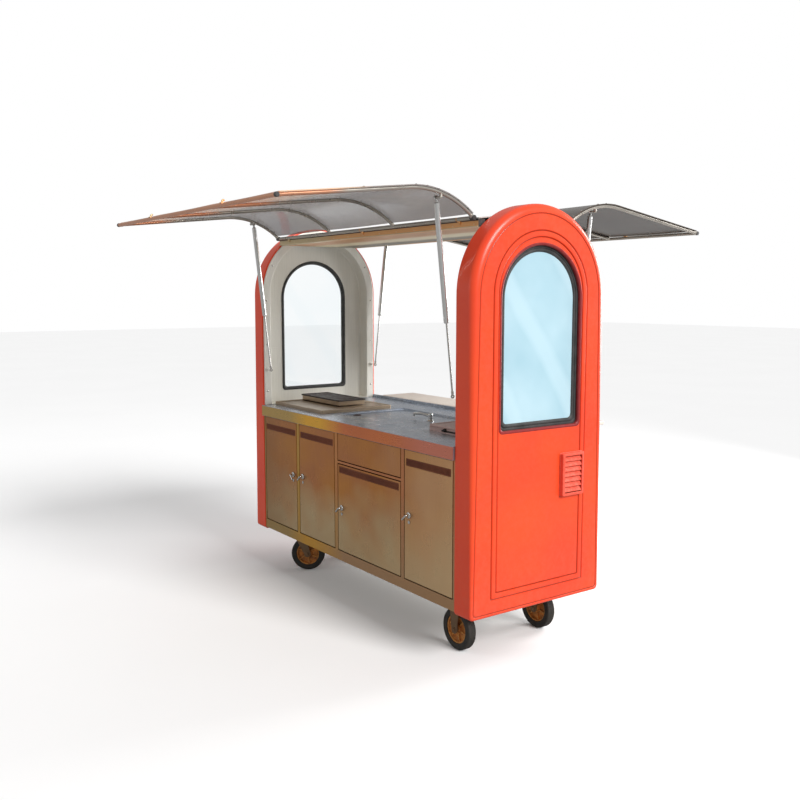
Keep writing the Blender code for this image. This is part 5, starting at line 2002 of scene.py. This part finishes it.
# ---- casters
@dataclass
class Caster(Assembly):
    """A caster: plate, fork, tyre and hub.

    Attributes:
        name: such as "front_left".
        swivels: it turns about an upright pin.
        radius: radius of the wheel.
        width: width of the tyre.
        seat: radius where the tyre sits on the hub.
        plate: length, width and thickness of the plate.
        centre: middle of the wheel.
        axle: direction of the axle.
        pivot: where the swivel's axis meets the floor, or the wheel's middle does.
    """

    name: str
    swivels: bool
    radius: float = 0.100
    width: float = 0.045
    seat: float = 0.068
    plate: Point = (0.105, 0.085, 0.0075)
    centre: Vector = field(init=False)
    axle: Vector = field(init=False)
    pivot: Vector = field(init=False)

    def __post_init__(self) -> None:
        """Read the axle and the pivot from the joints."""
        roll = joint(f"{self.name}_wheel_roll")
        self.centre = Vector(roll["pos_m"])
        self.axle = Vector(roll["axis"]).normalized()
        self.pivot = Vector((self.centre.x, self.centre.y, 0.0))
        if self.swivels:
            place = joint(f"{self.name}_caster_swivel")["pos_m"]
            self.pivot = Vector((place[0], place[1], 0.0))

    @property
    def carrier(self) -> str:
        """The body that carries the fork."""
        return f"{self.name}_caster" if self.swivels else "cart"

    def local(self, forward: float, across: float, up: float) -> Vector:
        """A point in the caster's own frame, from its pivot on the floor."""
        ahead = self.axle.cross(Vector((0, 0, 1)))
        return self.pivot + ahead * forward + self.axle * across + Vector((0, 0, up))

    def tyre(self) -> Thing:
        """The tyre with a crowned, grooved tread and ribbed sides.

        Returns:
            The piece.
        """
        half = self.width / 2
        tread: list[Flat] = []
        for across in (-0.0105, -0.0035, 0.0035, 0.0105):
            tread += [(self.radius - 0.0002, across - 0.0022), (self.radius - 0.0014, across - 0.0010),
                      (self.radius - 0.0014, across + 0.0010), (self.radius - 0.0002, across + 0.0022)]
        side = [(self.seat, half - 0.004), (self.seat + 0.002, half - 0.001), (0.075, half - 0.0012),
                (0.0765, half - 0.0005), (0.079, half - 0.0005), (0.0805, half - 0.0012),
                (0.086, half)]
        shoulder = arc((self.radius - 0.0095, half - 0.0095), 0.0095, QUARTER, 0.15, 5)
        upper = side + shoulder
        lower = [(radius, -along) for radius, along in reversed(upper)]
        profile = upper + tread[::-1] + lower
        shaper = Shaper()
        shaper.turned(profile, self.centre, self.axle, ring=True, steps=88)
        return shaper.piece(f"{self.name}_tyre_rubber", f"{self.name}_wheel", Look.TYRE,
                            [f"{self.name}_wheel_tyre"], angle=40)

    def hub(self) -> Thing:
        """The cast hub with its ribs and bearing cups.

        Returns:
            The piece.
        """
        rim, web = self.seat - TOUCH, 0.005
        side = [(0.0082, 0.019), (0.0125, 0.020), (0.0195, 0.0195), (0.0205, 0.0185), (0.023, web + 0.002),
                (0.026, web), (rim - 0.013, web), (rim - 0.009, web + 0.003), (rim - 0.006, 0.0165),
                (rim - 0.002, 0.0178), (rim, 0.0175)]
        profile = side + [(radius, -along) for radius, along in reversed(side)]
        shaper = Shaper()
        shaper.turned(profile, self.centre, self.axle, ring=True, steps=64)
        first = self.axle.orthogonal().normalized()
        second = self.axle.cross(first)
        rib = ((0.021, web - 0.001), (rim - 0.008, web - 0.001), (rim - 0.008, 0.0115), (0.021, 0.0125))
        for out in circle(Vector(), first, second, 1.0, 6):
            wide = out.cross(self.axle) * 0.0028
            for face in (-1, 1):
                outline = [self.centre + out * far + self.axle * (face * along) - wide
                           for far, along in rib]
                shaper.prism(outline, wide * 2, 0.0007)
        return shaper.piece(f"{self.name}_hub_casting", f"{self.name}_wheel", Look.HUB,
                            [f"{self.name}_wheel_hub"])

    def top_plate(self, shaper: Shaper) -> None:
        """The plate under the frame with its four bolts.

        Args:
            shaper: takes the shapes.
        """
        long, wide, thick = self.plate
        top = FRAME_BOTTOM - TOUCH
        low = (self.pivot.x - long / 2, self.pivot.y - wide / 2, top - thick)
        high = (self.pivot.x + long / 2, self.pivot.y + wide / 2, top)
        shaper.block(low, high, 0.0012)
        for x in (-0.040, 0.040):
            for y in (-0.031, 0.031):
                place = (self.pivot.x + x, self.pivot.y + y, top - thick)
                shaper.bolt(place, (0, 0, -1), 0.0055)

    def fork(self, shaper: Shaper) -> None:
        """The pressed fork: two tapered legs under a crown, with the axle's nuts.

        Args:
            shaper: takes the shapes.
        """
        trail = (self.centre - self.pivot).dot(self.axle.cross(Vector((0, 0, 1))))
        inside = self.width / 2 + 0.005
        under = FRAME_BOTTOM - TOUCH - self.plate[2]
        crown = under - (0.0032 if self.swivels else -0.001)
        leg = arc((trail, self.radius), 0.020, math.pi, 2 * math.pi, 14)
        outline = [(-0.036, crown - 0.004), *leg, (0.036, crown - 0.004), (0.034, crown),
                   (-0.034, crown)]
        for side in (-1, 1):
            start = side * inside
            points = [self.local(forward, start, up) for forward, up in outline]
            shaper.prism(points, self.axle * (side * 0.005), 0.0012)
        outside = inside + 0.005
        bridge = [self.local(forward, across, crown - 0.006) for forward, across in
                  ((-0.036, -outside), (0.036, -outside), (0.036, outside), (-0.036, outside))]
        shaper.prism(bridge, (0, 0, 0.006), 0.0012)
        for side in (-1, 1):
            shaper.bolt(self.centre + self.axle * (side * outside), self.axle * side, 0.0085)
        shaper.turned([(0.0072, -inside), (0.0072, inside)], self.centre, self.axle, steps=24)
        if self.swivels:
            race = [(0.030, 0.0), (0.032, -0.002), (0.0325, -0.006), (0.030, -0.0085), (0.026, -0.009),
                    (0.008, -0.009), (0.008, 0.0)]
            shaper.turned(race, self.pivot + Vector((0, 0, under - 0.0006)), (0, 0, 1), ring=True)

    def build(self) -> list[Thing]:
        """Make the wheel, the fork and the plate.

        Returns:
            The pieces.
        """
        pieces = [self.tyre(), self.hub()]
        shaper = Shaper()
        self.fork(shaper)
        if not self.swivels:
            self.top_plate(shaper)
        pieces.append(shaper.piece(f"{self.name}_caster_fork", self.carrier, Look.CASTER,
                                   [f"{self.name}_fork"]))
        if self.swivels:
            shaper = Shaper()
            self.top_plate(shaper)
            pin = Vector((self.pivot.x, self.pivot.y, FRAME_BOTTOM - TOUCH - self.plate[2]))
            shaper.turned([(0.0058, 0.001), (0.0058, -0.016)], pin, (0, 0, 1), steps=20)
            shaper.bolt(pin + Vector((0, 0, -0.014)), (0, 0, -1), 0.0075)
            pieces.append(shaper.piece(f"{self.name}_caster_top_plate", "cart", Look.CASTER,
                                       [f"{self.name}_caster_plate"]))
        return pieces


# ---- studio
@dataclass
class Studio:
    """Floor, soft light and the camera.

    Attributes:
        camera_place: where the camera stands.
        camera_turn: its turn about X, Y and Z in degrees.
        lens: focal length for a 36 mm wide sensor, in millimetres.
        sky: strength of the even light from all around; the backdrop itself is white.
        sun_from: direction from which the broad key light comes.
        sun_power: its strength.
        lamps: place, aim, size and power of each soft lamp.
    """

    camera_place: Point = (3.958, -2.832, 1.651)
    camera_turn: Point = (83.394, 0.0, 54.835)
    lens: float = 40.58
    sky: float = 0.42
    sun_from: Point = (1.0, 0.16, 0.62)
    sun_power: float = 3.25
    lamps: tuple[tuple[Point, Point, float, float], ...] = (
        ((0.9, 4.6, 2.3), (-0.9, 0.0, 1.5), 2.6, 210.0),
        ((-2.6, -5.6, 3.4), (0.0, 0.0, 1.4), 3.6, 40.0))

    def floor(self) -> Thing:
        """A pale matt floor.

        Returns:
            The floor's object.
        """
        shape = bmesh.new()
        bmesh.ops.create_grid(shape, x_segments=8, y_segments=8, size=40.0)
        data = bpy.data.meshes.new("studio_floor")
        shape.to_mesh(data)
        shape.free()
        thing = bpy.data.objects.new("studio_floor", data)
        bpy.context.scene.collection.objects.link(thing)
        made = bpy.data.materials.new("studio_floor")
        made.use_nodes = True
        graph = Graph(made.node_tree)
        shader = made.node_tree.nodes["Principled BSDF"]
        tone = graph.effect(Effect.DRIFT, First=(0.98, 0.98, 0.98), Second=(0.96, 0.96, 0.96),
                            Scale=0.7, Amount=0.6).outputs["Color"]
        graph.feed(shader.inputs["Base Color"], graph.mix(graph.seen(), (0.42, 0.42, 0.42), tone))
        shader.inputs["Roughness"].default_value = 0.9
        shader.inputs["Specular IOR Level"].default_value = 0.1
        data.materials.append(made)
        return thing

    def light(self) -> None:
        """Even white surroundings and large soft lamps."""
        world = bpy.data.worlds.new("studio")
        world.use_nodes = True
        graph = Graph(world.node_tree)
        back = world.node_tree.nodes["Background"]
        graph.feed(back.inputs["Color"], (1.0, 1.0, 1.0))
        graph.feed(back.inputs["Strength"], graph.span(graph.seen(), 0.0, 1.0, self.sky, 1.0))
        bpy.context.scene.world = world
        key = bpy.data.lights.new("key_light", "SUN")
        key.energy = self.sun_power
        key.angle = math.radians(24)
        self.hang(key, self.sun_from, (0.0, 0.0, 0.0))
        for number, (place, aim, size, power) in enumerate(self.lamps):
            soft = bpy.data.lights.new(f"soft_lamp_{number}", "AREA")
            soft.size = size
            soft.energy = power
            self.hang(soft, place, aim)

    def hang(self, light: bpy.types.Light, place: Point, aim: Point) -> None:
        """Hang a light at a place and turn it to what it lights.

        Args:
            light: the light.
            place: where it hangs.
            aim: what it lights.
        """
        lamp = bpy.data.objects.new(light.name, light)
        lamp.location = place
        lamp.rotation_euler = (Vector(aim) - Vector(place)).to_track_quat("-Z", "Y").to_euler()
        bpy.context.scene.collection.objects.link(lamp)

    def camera(self) -> Thing:
        """The camera at the cart's front right corner.

        Returns:
            The camera's object.
        """
        data = bpy.data.cameras.new("studio_camera")
        data.sensor_width = 36.0
        data.lens = self.lens
        thing = bpy.data.objects.new("studio_camera", data)
        thing.location = self.camera_place
        thing.rotation_euler = [math.radians(turn) for turn in self.camera_turn]
        bpy.context.scene.collection.objects.link(thing)
        bpy.context.scene.camera = thing
        return thing

    def build(self) -> None:
        """Set the studio up."""
        bpy.context.scene.view_settings.view_transform = "Standard"
        self.floor()
        self.light()
        self.camera()


def assemblies() -> list[Assembly]:
    """Every sub-assembly of the cart, in building order.

    Returns:
        The sub-assemblies.
    """
    parts: list[Assembly] = [EndPanel("right", 1), EndPanel("left", -1), Cabinet()]
    parts += [Door("left_door", -1, 0.630), Door("centre_left_door", 1, 0.637),
              Door("lower_centre_door", 1, 0.538, strip_drop=0.010), Door("right_door", 1, 0.620)]
    parts += [Worktop(), ServingShelf(), Roof()]
    for awning in (Awning("front", -1), Awning("back", 1)):
        parts += [awning, GasStrut(awning, "left"), GasStrut(awning, "right")]
    for end, swivels in (("left", True), ("right", False)):
        parts += [Caster(f"{row}_{end}", swivels) for row in ("front", "back")]
    return parts


def main() -> None:
    """Build the studio and every sub-assembly, and report each piece."""
    logging.basicConfig(level=logging.INFO, format="%(name)s %(message)s")
    Studio().build()
    for part in assemblies():
        for thing in part.build() + part.dress():
            LOG.info("%s: %s on %s", type(part).__name__, thing.name, thing["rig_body"])


if __name__ == "__main__":
    main()
